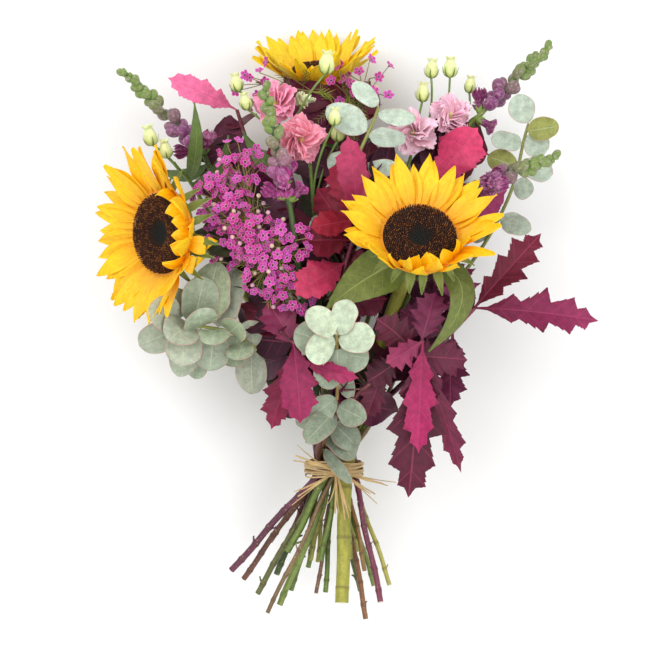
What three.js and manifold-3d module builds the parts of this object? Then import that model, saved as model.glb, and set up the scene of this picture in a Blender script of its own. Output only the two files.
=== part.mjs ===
// A hand-tied bunch of sunflowers with mixed flowers and foliage, lying on its back on a flat surface.
// Three sunflowers, four snapdragons, lisianthus, waxflower, eucalyptus and red oak leaves are bound with raffia.
//
// Units are millimetres, +Z is up, and the stems run along -Y.
// The plants are worked out round the tie, the waist where all stems cross, and the group is then moved so that
// its origin is on the surface, under the middle of the bunch.
//
// The stems are laid in a spiral, as a florist holds them: near the tie each one is a straight line, and
// together they form a hyperboloid, so they lean past each other and never cross.

import * as THREE from "three";
import { mergeVertices } from "three/addons/utils/BufferGeometryUtils.js";
import Module from "manifold-3d";

const wasm = await Module();
wasm.setup();

// ---- driving dimensions -------------------------------------------------------------------------------------

const TIE_AT = [-9.5, -143, 78]; // the middle of the tie, in the part's own frame
const SURFACE = -TIE_AT[2]; // height of the surface the bunch lies on, measured from the tie
const SPIRAL = 0.0225; // sideways lean of a stem for each mm that it lies off the tie's middle, per mm
const FAN = 0.03; // how much wider the stems stand for each mm below the tie
const DRIFT = 0.2; // how far the feet lie to the left for each mm below the tie
const BOW_END = 110; // how far above the tie a stem may bow out round its neighbours
const WAIST = 25; // how far off the middle a stem's axis may lie at the tie
const STEM_GAP = 0.4; // clearance between neighbouring stems at the tie
const SEAT = 0.3; // clearance between pieces that touch
const CLEAR = 0.4; // clearance kept between plants
const STEM_STEPS = 7; // straight pieces of a stem above the tie
const PRESS = 1; // how far a leaf that rests on the surface may be pressed flat
const BLADE = 1.1; // thickness of a leaf or petal along its middle
const GOLDEN = 2.39996; // golden angle, in radians
const DEG = Math.PI / 180;
const UP = new THREE.Vector3(0, 0, 1);

const COLOUR = {
  ray: "#ffc107",
  disc: "#33170b",
  sunGreen: "#8c9b46",
  snap: "#7c2f63",
  lisiGreen: "#7d9440",
  pink: "#f08aa5",
  palePink: "#f9b9cf",
  cream: "#eef0c4",
  wax: "#c436a0",
  eucalyptus: "#9db09a",
  oak: "#7a2145",
  raffia: "#d9bf90",
};

// Stems by node name. foot is how far the cut end lies below the tie, via are points on the way up, head is
// the point that carries the flower or the last leaves, and end is the direction in which the stem arrives.
// pin fixes its place at the tie and toe that of its cut end, which otherwise come from the spiral.
// bow is how far the stem swings out, along X and Z, to pass its neighbours above the tie.
const STEMS = {
  sunflower_right: {
    foot: 122, radius: 6.2, via: [[50, 138, 40]], head: [76, 208, 90], end: [0.05, 0.5, 0.86], pin: [11, 12],
    toe: [7, 40],
  },
  sunflower_left: {
    foot: 82, radius: 5.4, via: [], head: [-149, 221, 52], end: [-0.72, -0.05, 0.69], toe: [20, -20],
  },
  sunflower_top: { foot: 84, radius: 5.2, via: [], head: [-16, 366, -34], end: [-0.05, 0.92, 0.39], toe: [12, 18] },
  snapdragon_left: {
    foot: 118, radius: 2.9, via: [[-108, 262, 8], [-131, 305, 18]], head: [-198, 375, 10], bow: [-0.5, -3],
    toe: [26, -12],
  },
  snapdragon_middle: { foot: 104, radius: 2.9, via: [[-36, 215, 80], [-45, 262, 92]], head: [-63, 349, 97] },
  snapdragon_high: { foot: 128, radius: 2.9, via: [[112, 290, -4], [143, 340, 3]], head: [204, 399, 0], bow: [-2, 2] },
  snapdragon_right: {
    foot: 78, radius: 2.9, via: [[112, 240, 44], [143, 268, 52]], head: [204, 291, 45], bow: [19, 3],
    toe: [-44, 12],
  },
  lisianthus_left: { foot: 112, radius: 2.2, via: [[-118, 240, -4]], head: [-150, 288, 28], bow: [2, 0], toe: [38, -2] },
  lisianthus_middle: { foot: 118, radius: 2.3, via: [[-34, 220, 16]], head: [-52, 322, 32] },
  lisianthus_centre: { foot: 96, radius: 2.3, via: [[-14, 170, 34]], head: [-22, 284, 48], bow: [0, -3] },
  lisianthus_right: { foot: 116, radius: 2.3, via: [[52, 210, 12]], head: [72, 294, 20] },
  lisianthus_high: { foot: 86, radius: 2.3, via: [[80, 236, -8]], head: [106, 316, 0], bow: [0, 1] },
  waxflower: { foot: 100, radius: 2, via: [[-40, 120, 44]], head: [-62, 200, 66] },
  waxflower_high: { foot: 118, radius: 1.8, via: [[4, 220, -14]], head: [16, 340, 4] },
  eucalyptus_low: { foot: 92, radius: 2.1, via: [[-73, 115, 42]], head: [-146, 139, 58] },
  eucalyptus_front: { foot: 72, radius: 2.1, via: [[2, 62, 52]], head: [2, 128, 96], end: [0, 0.4, 0.9] },
  eucalyptus_middle: { foot: 88, radius: 2, via: [[10, 240, 48]], head: [41, 337, 56], toe: [-22, -5] },
  eucalyptus_right: { foot: 134, radius: 2, via: [[150, 225, 2]], head: [183, 325, 18], bow: [12, 21] },
  eucalyptus_back_left: { foot: 96, radius: 2, via: [[-40, 150, -45]], head: [-95, 285, -62], toe: [29, 13] },
  eucalyptus_back_right: {
    foot: 108, radius: 2, via: [[50, 150, -45]], head: [100, 268, -62], pin: [16, -9], toe: [52, 22],
  },
  oak_right: { foot: 98, radius: 3, via: [[66, 84, 40]], head: [130, 152, 46], toe: [-98, -8] },
  oak_front: { foot: 108, radius: 2.6, via: [[34, 70, 56]], head: [80, 122, 90], bow: [-16, 9] },
  oak_high: { foot: 120, radius: 2.6, via: [[62, 190, 24]], head: [90, 266, 28] },
  oak_centre: { foot: 72, radius: 2.6, via: [[2, 150, 52]], head: [28, 252, 70] },
  oak_left: { foot: 90, radius: 2.6, via: [[-20, 70, 52]], head: [-38, 122, 74], bow: [-2, 1] },
  oak_top_left: { foot: 142, radius: 2.4, via: [[-58, 230, -12]], head: [-92, 340, 4], toe: [30, 8] },
  oak_back: {
    foot: 121, radius: 2.6, via: [[14, 140, -44]], head: [10, 262, -60], pin: [19, -2], bow: [1, 2], toe: [43, 42],
  },
};

// Leaves as [share of the way up the stem, tip, width].
const EUCALYPTUS_LEAVES = {
  eucalyptus_low: [
    [1, [-147, 178, 72], 34], [0.95, [-139, 99, 68], 37], [0.93, [-180, 118, 52], 30], [0.895, [-119, 180, 66], 34],
    [0.86, [-145, 89, 48], 30], [0.82, [-107, 194, 58], 38], [0.84, [-128, 86, 42], 26],
    [0.74, [-90, 188, 46], 34], [0.76, [-115, 94, 54], 32], [0.6, [-102, 100, 42], 32],
    [0.52, [-76, 72, 34], 30], [0.5, [-78, 140, 54], 28], [0.4, [-59, 129, 40], 24],
  ],
  eucalyptus_front: [
    [1, [-25, 148, 104], 27], [0.965, [14, 158, 100], 25], [0.93, [36, 126, 104], 28], [0.895, [-26, 113, 102], 29],
    [0.86, [-36, 130, 84], 34], [0.825, [31, 106, 88], 30], [0.86, [4, 94, 80], 30], [0.78, [-12, 80, 72], 28],
    [0.62, [18, 84, 68], 26], [0.56, [-34, 44, 58], 28], [0.5, [24, 42, 58], 24], [0.36, [18, 24, 44], 26],
    [0.46, [-20, 18, 60], 24], [0.26, [18, 12, 44], 22], [0.14, [-10, -6, 34], 12],
  ],
  eucalyptus_middle: [
    [1, [17, 358, 60], 17], [0.965, [75, 326, 54], 16], [0.86, [-2, 336, 60], 27], [0.84, [66, 307, 52], 18],
    [0.66, [-6, 288, 50], 22], [0.62, [58, 284, 46], 18], [0.54, [-14, 268, 58], 28], [0.42, [-18, 238, 52], 28],
  ],
  eucalyptus_right: [
    [1, [172, 353, 12], 24], [0.965, [210, 322, 28], 22], [0.93, [202, 302, 10], 26], [0.895, [148, 312, 20], 18],
    [0.78, [206, 278, 10], 22], [0.76, [146, 296, 4], 22], [0.66, [188, 264, 14], 20], [0.54, [186, 226, 8], 20],
    [0.5, [120, 232, -14], 26],
  ],
  eucalyptus_back_left: [
    [1, [-122, 322, -72], 34], [0.965, [-136, 282, -70], 36], [0.93, [-62, 306, -66], 34],
    [0.82, [-128, 244, -73], 38], [0.775, [-52, 264, -62], 36], [0.66, [-108, 206, -78.9], 36],
    [0.62, [-22, 216, -66], 32], [0.48, [-80, 158, -60], 32], [0.46, [-4, 168, -60], 30],
  ],
  eucalyptus_back_right: [
    [1, [132, 304, -70], 34], [0.965, [144, 262, -70], 36], [0.93, [70, 296, -66], 34],
    [0.82, [134, 222, -78], 38], [0.78, [56, 250, -68], 36], [0.66, [116, 184, -68], 36],
    [0.62, [42, 204, -68], 32], [0.48, [92, 140, -56], 32],
  ],
};

const OAK_LEAVES = {
  oak_front: [
    [0.98, [68, -22, 64], 50], [1, [76, 20, 86], 30], [0.96, [117, 0, 54], 22], [1, [46, 102, 99], 26],
    [0.92, [38, 142, 94], 36], [0.86, [122, 104, 66], 36], [0.8, [30, 84, 76], 34], [0.98, [92, 166, 78], 34],
    [0.7, [30, 52, 60], 26],
  ],
  oak_right: [
    [1, [243, 140, 56], 38], [0.98, [192, 221, 42], 34], [0.84, [108, 60, 40], 34], [0.7, [64, 30, 50], 30],
    [0.8, [60, 150, 50], 36], [0.92, [110, 196, 48], 36],
  ],
  oak_high: [[1, [134, 320, 34], 42], [0.72, [162, 262, 26], 44], [0.6, [30, 250, 34], 34]],
  oak_centre: [
    [0.88, [12, 308, 80], 30], [0.9, [2, 286, 64], 32], [0.9, [-22, 224, 90], 26], [0.8, [-30, 212, 80], 34],
    [0.7, [-35, 163, 88], 36], [0.52, [48, 160, 66], 34], [0.82, [-16, 262, 58], 34], [0.6, [34, 200, 58], 34],
  ],
  oak_left: [[1, [-31, 46, 72], 36], [0.9, [-58, 40, 54], 28], [0.8, [22, 88, 84], 17], [0.95, [-62, 158, 62], 34]],
  oak_top_left: [[1, [-157, 370, 8], 26], [0.86, [-104, 296, -24], 28], [0.72, [-40, 300, -20], 28]],
  oak_back: [
    [1, [6, 318, -72], 40], [0.9, [44, 262, -70], 34], [0.84, [-44, 236, -66], 34], [0.6, [14, 90, -75.8], 34],
    [0.5, [-36, 150, -62], 32],
  ],
};

// Leaves of the flower stems: [node, share of the way, bend point, tip, width].
const GREEN_LEAVES = [
  ["sunflower_right", 0.86, [40, 192, 76], [-8, 150, 97], 44],
  ["sunflower_right", 0.93, [150, 176, 108], [85, 112, 88], 24],
  ["sunflower_left", 0.8, [-96, 196, 44], [-84, 236, 60], 30],
  ["sunflower_top", 0.82, [10, 300, -50], [46, 318, -60], 34],
  ["lisianthus_left", 0.72, [-120, 290, 34], [-126, 340, 42], 15],
  ["lisianthus_left", 0.66, [-104, 270, 30], [-98, 312, 42], 13],
  ["lisianthus_middle", 0.74, [-66, 280, 30], [-86, 318, 26], 16],
  ["lisianthus_centre", 0.7, [-10, 240, 50], [4, 268, 66], 14],
  ["lisianthus_right", 0.7, [66, 240, 26], [92, 262, 52], 14],
  ["lisianthus_high", 0.72, [104, 272, 6], [126, 300, 4], 14],
  ["snapdragon_high", 0.52, [128, 306, -10], [150, 300, -28], 13],
  ["snapdragon_left", 0.42, [-140, 270, -6], [-168, 286, -16], 13],
];

// Sunflower heads. rise holds the tilt of the ray petals out of the disc's plane, in degrees: everywhere, more
// towards t and more along t than across it, where t is the head's own downhill direction. curl is the same
// for how far they bend forwards.
const SUNFLOWERS = {
  sunflower_right: { disc: 33, ray: 46, rise: [42, -14, 0], curl: [-8, -38], grain: 1 },
  sunflower_left: { disc: 37, ray: 50, rise: [37, -8, -3], curl: [-7, -36], grain: 2 },
  sunflower_top: { disc: 25, ray: 45, rise: [46, 0, 0], curl: [6, 0], grain: 3 },
};
const RAYS = 10; // ray petals in each of the two rows
const BRACTS = 9;
const NECK = 14; // height of the green cup behind the disc

// Spikes: where on the stem they start, how many buds they have, and how many of those have opened.
const SNAPDRAGONS = {
  snapdragon_left: { from: 0.56, buds: 13, open: 2, grain: 11 },
  snapdragon_middle: { from: 0.52, buds: 14, open: 4, grain: 12 },
  snapdragon_high: { from: 0.58, buds: 13, open: 2, grain: 13 },
  snapdragon_right: { from: 0.5, buds: 13, open: 3, grain: 14 },
};

// Open blooms of the lisianthus: spray, share of the way where their twig leaves it, place, axis, radius and
// colour.
const BLOOMS = {
  bloom_pink_left: {
    on: "lisianthus_middle", share: 0.9, at: [-58, 345, 46], axis: [-0.3, 0.25, 0.92], radius: 24, tint: "pink",
  },
  bloom_pink_centre: {
    on: "lisianthus_centre", share: 0.95, at: [-28, 306, 64], axis: [0.25, -0.1, 0.96], radius: 24, tint: "pink",
  },
  bloom_pink_right: {
    on: "lisianthus_right", share: 0.95, at: [72, 318, 34], axis: [-0.25, 0.2, 0.95], radius: 24, tint: "palePink",
  },
  bloom_pink_high: {
    on: "lisianthus_high", share: 0.95, at: [112, 338, 14], axis: [0.2, 0.4, 0.9], radius: 22, tint: "palePink",
  },
  bloom_white: {
    on: "lisianthus_middle", share: 0.8, at: [-28, 352, 34], axis: [0.1, 0.75, 0.65], radius: 17, tint: "cream",
  },
};

// Closed lisianthus buds: [spray, share of the way, place, length, bend of the twig if it passes a bloom].
const BUDS = [
  ["lisianthus_middle", 0.7, [-15, 380, 42], 22], ["lisianthus_centre", 0.8, [-6, 333, 62], 17],
  ["lisianthus_centre", 0.72, [4, 316, 44], 20], ["lisianthus_middle", 0.86, [-91, 362, 36], 18],
  ["lisianthus_middle", 0.8, [-82, 343, 48], 17], ["lisianthus_left", 0.96, [-171, 312, 42], 20],
  ["lisianthus_left", 0.9, [-157, 300, 36], 18], ["lisianthus_right", 0.8, [98, 382, 10], 19, [98, 326, -6]],
  ["lisianthus_right", 0.86, [84, 356, 12], 19, [78, 322, 2]],
  ["lisianthus_high", 0.86, [114, 376, 8], 20, [110, 340, -10]],
  ["lisianthus_high", 0.8, [142, 352, 8], 17, [134, 326, -8]],
];

// Clusters of waxflower: [spray, share of the way, place, florets].
const CLUSTERS = [
  ["waxflower", 1, [-72, 217, 88], 4], ["waxflower", 0.95, [-109, 252, 72], 3],
  ["waxflower", 0.9, [-88, 281, 76], 4], ["waxflower", 0.92, [-48, 212, 86], 4],
  ["waxflower", 0.84, [-64, 188, 82], 3], ["waxflower", 0.76, [-40, 168, 78], 3],
  ["waxflower", 0.8, [-88, 240, 80], 4], ["waxflower", 0.7, [-94, 214, 66], 3],
  ["waxflower_high", 0.98, [8, 360, 18], 3], ["waxflower_high", 0.84, [34, 370, 6], 3],
  ["waxflower_high", 0.9, [-74, 366, 10], 3],
];

// ---- small helpers ------------------------------------------------------------------------------------------

const vec = (p) => new THREE.Vector3(...p);

// The point o, moved by an amount along each of some directions.
const at = (o, ...terms) => {
  const p = o.clone();
  for (const [direction, amount] of terms) p.addScaledVector(direction, amount);
  return p;
};
const toward = (...terms) => at(new THREE.Vector3(), ...terms).normalize();

// A number from 0 to 1 that depends only on its whole-number keys, so that every draw is repeatable.
function draw(...keys) {
  let h = 2166136261;
  for (const key of keys) {
    h = Math.imul(h ^ (key + 40503), 16777619);
    h = Math.imul(h ^ (h >>> 13), 1540483477);
    h ^= h >>> 15;
  }
  return (h >>> 0) / 4294967296;
}
const spread = (amount, ...keys) => amount * (2 * draw(...keys) - 1);

// Forward, side and up directions, with up as near to the one given as it can be.
function axes(forward, up) {
  const f = forward.clone().normalize();
  const s = f.clone().cross(up).normalize();
  return { f, s, u: s.clone().cross(f) };
}

// Two directions across d: s is level where it can be, and t runs downhill or away from it.
function across(d) {
  const s = d.clone().cross(Math.abs(d.z) < 0.98 ? UP : new THREE.Vector3(0, 1, 0)).normalize();
  return { s, t: d.clone().cross(s) };
}

const arc = (base, middle, tip) => new THREE.QuadraticBezierCurve3(base, middle, tip);

// A curve that sets out forwards and has turned up by an angle when it ends.
function curl(base, forward, up, length, turn) {
  const middle = at(base, [forward, length / 2]);
  const on = (Math.cos(turn) * length) / 2;
  const rise = (Math.sin(turn) * length) / 2;
  return arc(base, middle, at(middle, [forward, on], [up, rise]));
}

// ---- solids -------------------------------------------------------------------------------------------------

// A closed body through cross-sections with the same number of points. A section of one point is a tip, and a
// section may have twice as many points as the one before it.
// Both faces of a thin blade are split along the same diagonals. A ring joins its last section to its first.
function loft(sections, ring = false) {
  const position = [];
  const index = [];
  const start = [];
  for (const section of sections) {
    start.push(position.length / 3);
    for (const p of section) position.push(p.x, p.y, p.z);
  }
  const steps = ring ? sections.length : sections.length - 1;
  for (let i = 0; i < steps; i++) {
    const j = (i + 1) % sections.length;
    const a = start[i];
    const b = start[j];
    const count = sections[i].length === 1 ? sections[j].length : sections[i].length;
    const doubles = count > 1 && sections[j].length === 2 * count;
    for (let k = 0; k < count; k++) {
      const n = (k + 1) % count;
      if (sections[i].length === 1) index.push(a, b + n, b + k);
      else if (sections[j].length === 1) index.push(a + k, a + n, b);
      else if (doubles) index.push(a + k, a + n, b + 2 * n, a + k, b + 2 * n, b + 2 * k + 1, a + k, b + 2 * k + 1, b + 2 * k);
      else if (k % 2 === 0) index.push(a + k, a + n, b + n, a + k, b + n, b + k);
      else index.push(a + k, a + n, b + k, a + n, b + n, b + k);
    }
  }
  if (!ring) {
    const last = sections.length - 1;
    for (let k = 1; k < sections[0].length - 1; k++) index.push(start[0], start[0] + k + 1, start[0] + k);
    for (let k = 1; k < sections[last].length - 1; k++) index.push(start[last], start[last] + k, start[last] + k + 1);
  }
  const geometry = new THREE.BufferGeometry();
  geometry.setAttribute("position", new THREE.Float32BufferAttribute(position, 3));
  geometry.setIndex(index);
  return solid(geometry);
}

// The manifold-3d solid of a closed geometry, with its faces turned outwards.
function solid(geometry) {
  const merged = mergeVertices(geometry, 1e-4);
  const vertProperties = new Float32Array(merged.attributes.position.array);
  const triVerts = new Uint32Array(merged.index.array);
  const corner = (i) => new THREE.Vector3().fromArray(vertProperties, 3 * triVerts[i]);
  let volume = 0;
  for (let i = 0; i < triVerts.length; i += 3) volume += corner(i).dot(corner(i + 1).cross(corner(i + 2)));
  if (volume < 0) {
    for (let i = 0; i < triVerts.length; i += 3) {
      [triVerts[i + 1], triVerts[i + 2]] = [triVerts[i + 2], triVerts[i + 1]];
    }
  }
  return new wasm.Manifold(new wasm.Mesh({ numProp: 3, vertProperties, triVerts }));
}

// A leaf or petal along a curve, with sharp edges. outline holds [place along the curve, share of the width,
// forward shift of the edge as a share of the width], cup lifts the edges and roll tips it to one side.
function blade(curve, up, width, outline, { thick = BLADE, cup = 0, roll = 0 } = {}) {
  return loft(
    outline.map(([along, wide, shift = 0]) => {
      const middle = curve.getPoint(along);
      if (wide === 0) return [middle];
      const { f, s, u } = axes(curve.getTangent(along), up);
      const side = toward([s, Math.cos(roll)], [u, Math.sin(roll)]);
      const face = toward([u, Math.cos(roll)], [s, -Math.sin(roll)]);
      const half = (wide * width) / 2;
      const edge = at(middle, [face, cup * half], [f, shift * width]);
      return [
        at(edge, [side, -half]),
        at(middle, [face, thick / 2]),
        at(edge, [side, half]),
        at(middle, [face, -thick / 2]),
      ];
    }),
  );
}

// A round bar along points, with a radius at each. A radius of zero at an end makes a point there.
function bar(points, radii, sides) {
  let side = across(points[1].clone().sub(points[0]).normalize()).s;
  return loft(
    points.map((p, i) => {
      const next = points[Math.min(i + 1, points.length - 1)];
      const last = points[Math.max(i - 1, 0)];
      const { s, u } = axes(next.clone().sub(last), side);
      side = u;
      if (radii[i] === 0) return [p];
      return Array.from({ length: sides }, (_, k) => {
        const turn = (2 * Math.PI * k) / sides;
        return at(p, [s, radii[i] * Math.cos(turn)], [u, radii[i] * Math.sin(turn)]);
      });
    }),
  );
}

// A body turned round an axis: profile holds [radius, height], and relief may move each point out and up and
// turn it, in steps.
function turned(centre, axis, profile, sides, relief = () => [0, 0, 0]) {
  const { s, t } = across(axis);
  return loft(
    profile.map(([radius, height], ring) => {
      if (radius === 0) return [at(centre, [axis, height])];
      return Array.from({ length: sides }, (_, k) => {
        const [out, lift, step] = relief(ring, k);
        const turn = (2 * Math.PI * (k + step)) / sides;
        const r = radius + out;
        return at(centre, [s, r * Math.cos(turn)], [t, r * Math.sin(turn)], [axis, height + lift]);
      });
    }),
  );
}

// ---- plants, and keeping them clear of each other -----------------------------------------------------------

const plants = new Map(); // node name -> { colour, bodies, boxes }

function grow(name, colour, ...bodies) {
  if (!plants.has(name)) plants.set(name, { colour, bodies: [], boxes: [] });
  for (const body of bodies) {
    plants.get(name).bodies.push(body);
    plants.get(name).boxes.push(body.boundingBox());
  }
}

function isClear(name, body, rivals = []) {
  const box = body.boundingBox();
  if (box.min[2] < SURFACE - PRESS) return false;
  if (rivals.some((rival) => body.minGap(rival, CLEAR) < CLEAR * 0.999)) return false;
  for (const [other, { bodies, boxes }] of plants) {
    if (other === name) continue;
    for (let i = 0; i < bodies.length; i++) {
      const near = [0, 1, 2].every(
        (k) => boxes[i].min[k] - CLEAR < box.max[k] && box.min[k] - CLEAR < boxes[i].max[k],
      );
      if (near && body.minGap(bodies[i], CLEAR) < CLEAR * 0.999) return false;
    }
  }
  return true;
}

// Adds the first of several ways to place a piece that keeps clear of the other plants, and of the rivals given.
// make gives the piece's bodies for a try, and a piece that fits nowhere is left out.
function growClear(name, colour, tries, make, rivals = []) {
  for (let k = 0; k < tries; k++) {
    const bodies = make(k);
    if (!bodies.every((body) => isClear(name, body, rivals))) continue;
    grow(name, colour, ...bodies);
    rivals.push(...bodies);
    return;
  }
}

// ---- stems --------------------------------------------------------------------------------------------------

// Where each stem passes the tie. Its lean sets the place, and neighbours then push each other apart.
function packWaist() {
  const names = Object.keys(STEMS);
  const slots = names.map((name) => {
    const { via, head, pin } = STEMS[name];
    if (pin) return new THREE.Vector2(...pin);
    const [x, y, z] = via[0] ?? head;
    return new THREE.Vector2(-z / y / SPIRAL, x / y / SPIRAL).clampLength(0, WAIST);
  });
  const leaning = 1.1; // a leaning stem's section is this much longer than its width
  for (let round = 0; round < 600; round++) {
    for (let i = 0; i < slots.length; i++) {
      if (!STEMS[names[i]].pin) slots[i].multiplyScalar(0.997);
      for (let j = 0; j < i; j++) {
        const apart = slots[i].clone().sub(slots[j]);
        const wanted = (STEMS[names[i]].radius + STEMS[names[j]].radius) * leaning + STEM_GAP;
        const short = wanted - apart.length();
        if (short > 0) {
          const pins = [i, j].map((n) => Boolean(STEMS[names[n]].pin));
          const shares = [pins[0] ? 0 : 1, pins[1] ? 0 : 1];
          const both = shares[0] + shares[1];
          slots[i].addScaledVector(apart, (short * shares[0]) / both / apart.length());
          slots[j].addScaledVector(apart, (-short * shares[1]) / both / apart.length());
        }
      }
    }
  }
  names.forEach((name, i) => (STEMS[name].slot = slots[i]));
}
packWaist();
const BUNDLE = Math.max(...Object.values(STEMS).map((stem) => stem.slot.length() + stem.radius));

// A point on the way from the tie, at 0, to the head, at 1, and the direction there.
function onStem(name, share) {
  const { slot, via, head, end, bow = [0, 0] } = STEMS[name];
  const points = [new THREE.Vector3(slot.x, 0, slot.y), ...via.map(vec), vec(head)];
  const last = points.length - 1;
  const tangents = points.map((p, i) => {
    if (i === 0) {
      const reach = points[1].distanceTo(p);
      return toward([new THREE.Vector3(SPIRAL * slot.y, 1, -SPIRAL * slot.x), 1]).multiplyScalar(reach);
    }
    if (i < last) return points[i + 1].clone().sub(points[i - 1]).multiplyScalar(0.5);
    const reach = p.clone().sub(points[last - 1]);
    return end ? vec(end).normalize().multiplyScalar(reach.length() * 0.8) : reach;
  });
  const k = Math.min(Math.floor(share * last), last - 1);
  const t = share * last - k;
  const [p0, p1, m0, m1] = [points[k], points[k + 1], tangents[k], tangents[k + 1]];
  const place = at(
    new THREE.Vector3(),
    [p0, 2 * t ** 3 - 3 * t ** 2 + 1],
    [m0, t ** 3 - 2 * t ** 2 + t],
    [p1, -2 * t ** 3 + 3 * t ** 2],
    [m1, t ** 3 - t ** 2],
  );
  const direction = toward(
    [p0, 6 * t ** 2 - 6 * t],
    [m0, 3 * t ** 2 - 4 * t + 1],
    [p1, -6 * t ** 2 + 6 * t],
    [m1, 3 * t ** 2 - 2 * t],
  );
  const above = Math.min(Math.max(place.y / BOW_END, 0), 1);
  place.x += 4 * above * (1 - above) * bow[0];
  place.z += 4 * above * (1 - above) * bow[1];
  return { place, direction };
}

// The cut end. Below the tie a stem is straight, and lies on the surface if it would reach below it.
function footOf(name) {
  const { slot, foot, radius, toe } = STEMS[name];
  if (toe) return new THREE.Vector3(toe[0], -foot, toe[1]);
  const z = slot.y + SPIRAL * foot * slot.x;
  const x = slot.x * (1 + FAN * foot) - (SPIRAL * slot.y + DRIFT) * foot;
  return new THREE.Vector3(x, -foot, Math.max(z, SURFACE + radius));
}

function growStem(name, colour, tip = 0.7) {
  const { radius } = STEMS[name];
  const points = [footOf(name)];
  const radii = [radius];
  for (let i = 0; i <= STEM_STEPS; i++) {
    const share = (i / STEM_STEPS) ** 1.35; // shorter steps where the stems are close together
    points.push(onStem(name, share).place);
    radii.push(radius * (1 - (1 - tip) * share));
  }
  grow(name, colour, bar(points, radii, radius > 4 ? 8 : radius > 2.5 ? 5 : 4));
}

// ---- leaves -------------------------------------------------------------------------------------------------

const ROUND_LEAF = [[0, 0.07], [0.3, 0.82], [0.74, 0.94], [1, 0]];
const POINTED_LEAF = [[0, 0.16], [0.4, 1], [0.75, 0.7], [1, 0]];
const OAK_LEAF = [
  [0, 0.08], [0.26, 0.66, 0.1], [0.34, 0.36], [0.5, 1, 0.1], [0.58, 0.46], [0.72, 0.9, 0.1], [0.8, 0.4], [1, 0],
];
const LEAF_TRIES = 32;

// The other places that a leaf may take, further and further from the first one.
function nudged(tip, k, grain, n) {
  if (k === 0) return tip;
  const far = 3 + 1.4 * k;
  const aside = new THREE.Vector3(spread(far, grain, n, k, 1), spread(far, grain, n, k, 2), 0);
  return at(tip, [UP, (k % 2 ? 1 : -1) * far], [aside, 1]);
}

// A leaf from its stem to a tip. It faces up, with a little tilt of its own.
function growLeaf(name, colour, share, tip, width, outline, grain, n, { bend = 0.12, cup = 0.15, middle } = {}) {
  const base = onStem(name, share).place;
  growClear(
    name,
    colour,
    LEAF_TRIES,
    (k) => {
      const end = nudged(vec(tip), k, grain, n);
      const tilt = new THREE.Vector3(spread(0.35, grain, n, 5), spread(0.35, grain, n, 6), 0);
      const facing = toward([UP, base.z < -30 ? -1 : 1], [tilt, 1]);
      const mid = middle
        ? nudged(vec(middle), k, grain, n)
        : at(base.clone().lerp(end, 0.5), [facing, bend * base.distanceTo(end)]);
      return [blade(arc(base, mid, end), facing, width, outline, { cup: cup + spread(0.1, grain, n, 7) })];
    },
  );
}

// ---- sunflowers ---------------------------------------------------------------------------------------------

const RAY = [[0, 0.5], [0.36, 1], [0.74, 0.82], [1, 0]];
const BRACT = [[0, 0.8], [0.45, 1], [1, 0]];

function headOf(name) {
  const axis = vec(STEMS[name].end).normalize();
  return { axis, ...across(axis), centre: at(vec(STEMS[name].head), [axis, NECK]) };
}

// Green cup and bracts at the end of the stem.
function growCup(name) {
  const { centre, axis, s, t } = headOf(name);
  const { disc, grain } = SUNFLOWERS[name];
  const neck = STEMS[name].radius;
  const rim = disc + 4;
  const profile = [
    [0, -NECK - 2], [neck, -NECK - 2], [disc * 0.62, -NECK + 3], [rim, -7], [rim, -4.3], [0, -4.3],
  ];
  grow(name, COLOUR.sunGreen, turned(centre, axis, profile, BRACTS));
  for (let i = 0; i < BRACTS; i++) {
    const turn = (2 * Math.PI * (i + 0.5)) / BRACTS;
    const out = toward([s, Math.cos(turn)], [t, Math.sin(turn)]);
    const tilt = (-14 + spread(8, grain, i, 2)) * DEG;
    const aside = [axis.clone().cross(out), spread(0.2, grain, i, 1)];
    const forward = toward([out, Math.cos(tilt)], [axis, Math.sin(tilt)], aside);
    const up = toward([axis, Math.cos(tilt)], [out, -Math.sin(tilt)]);
    const root = at(centre, [out, disc - 1], [axis, -5.6]);
    const length = disc * 0.75 + spread(3, grain, i, 3);
    grow(name, COLOUR.sunGreen, blade(curl(root, forward, up, length, -0.5), up, 12, BRACT));
  }
}

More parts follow.
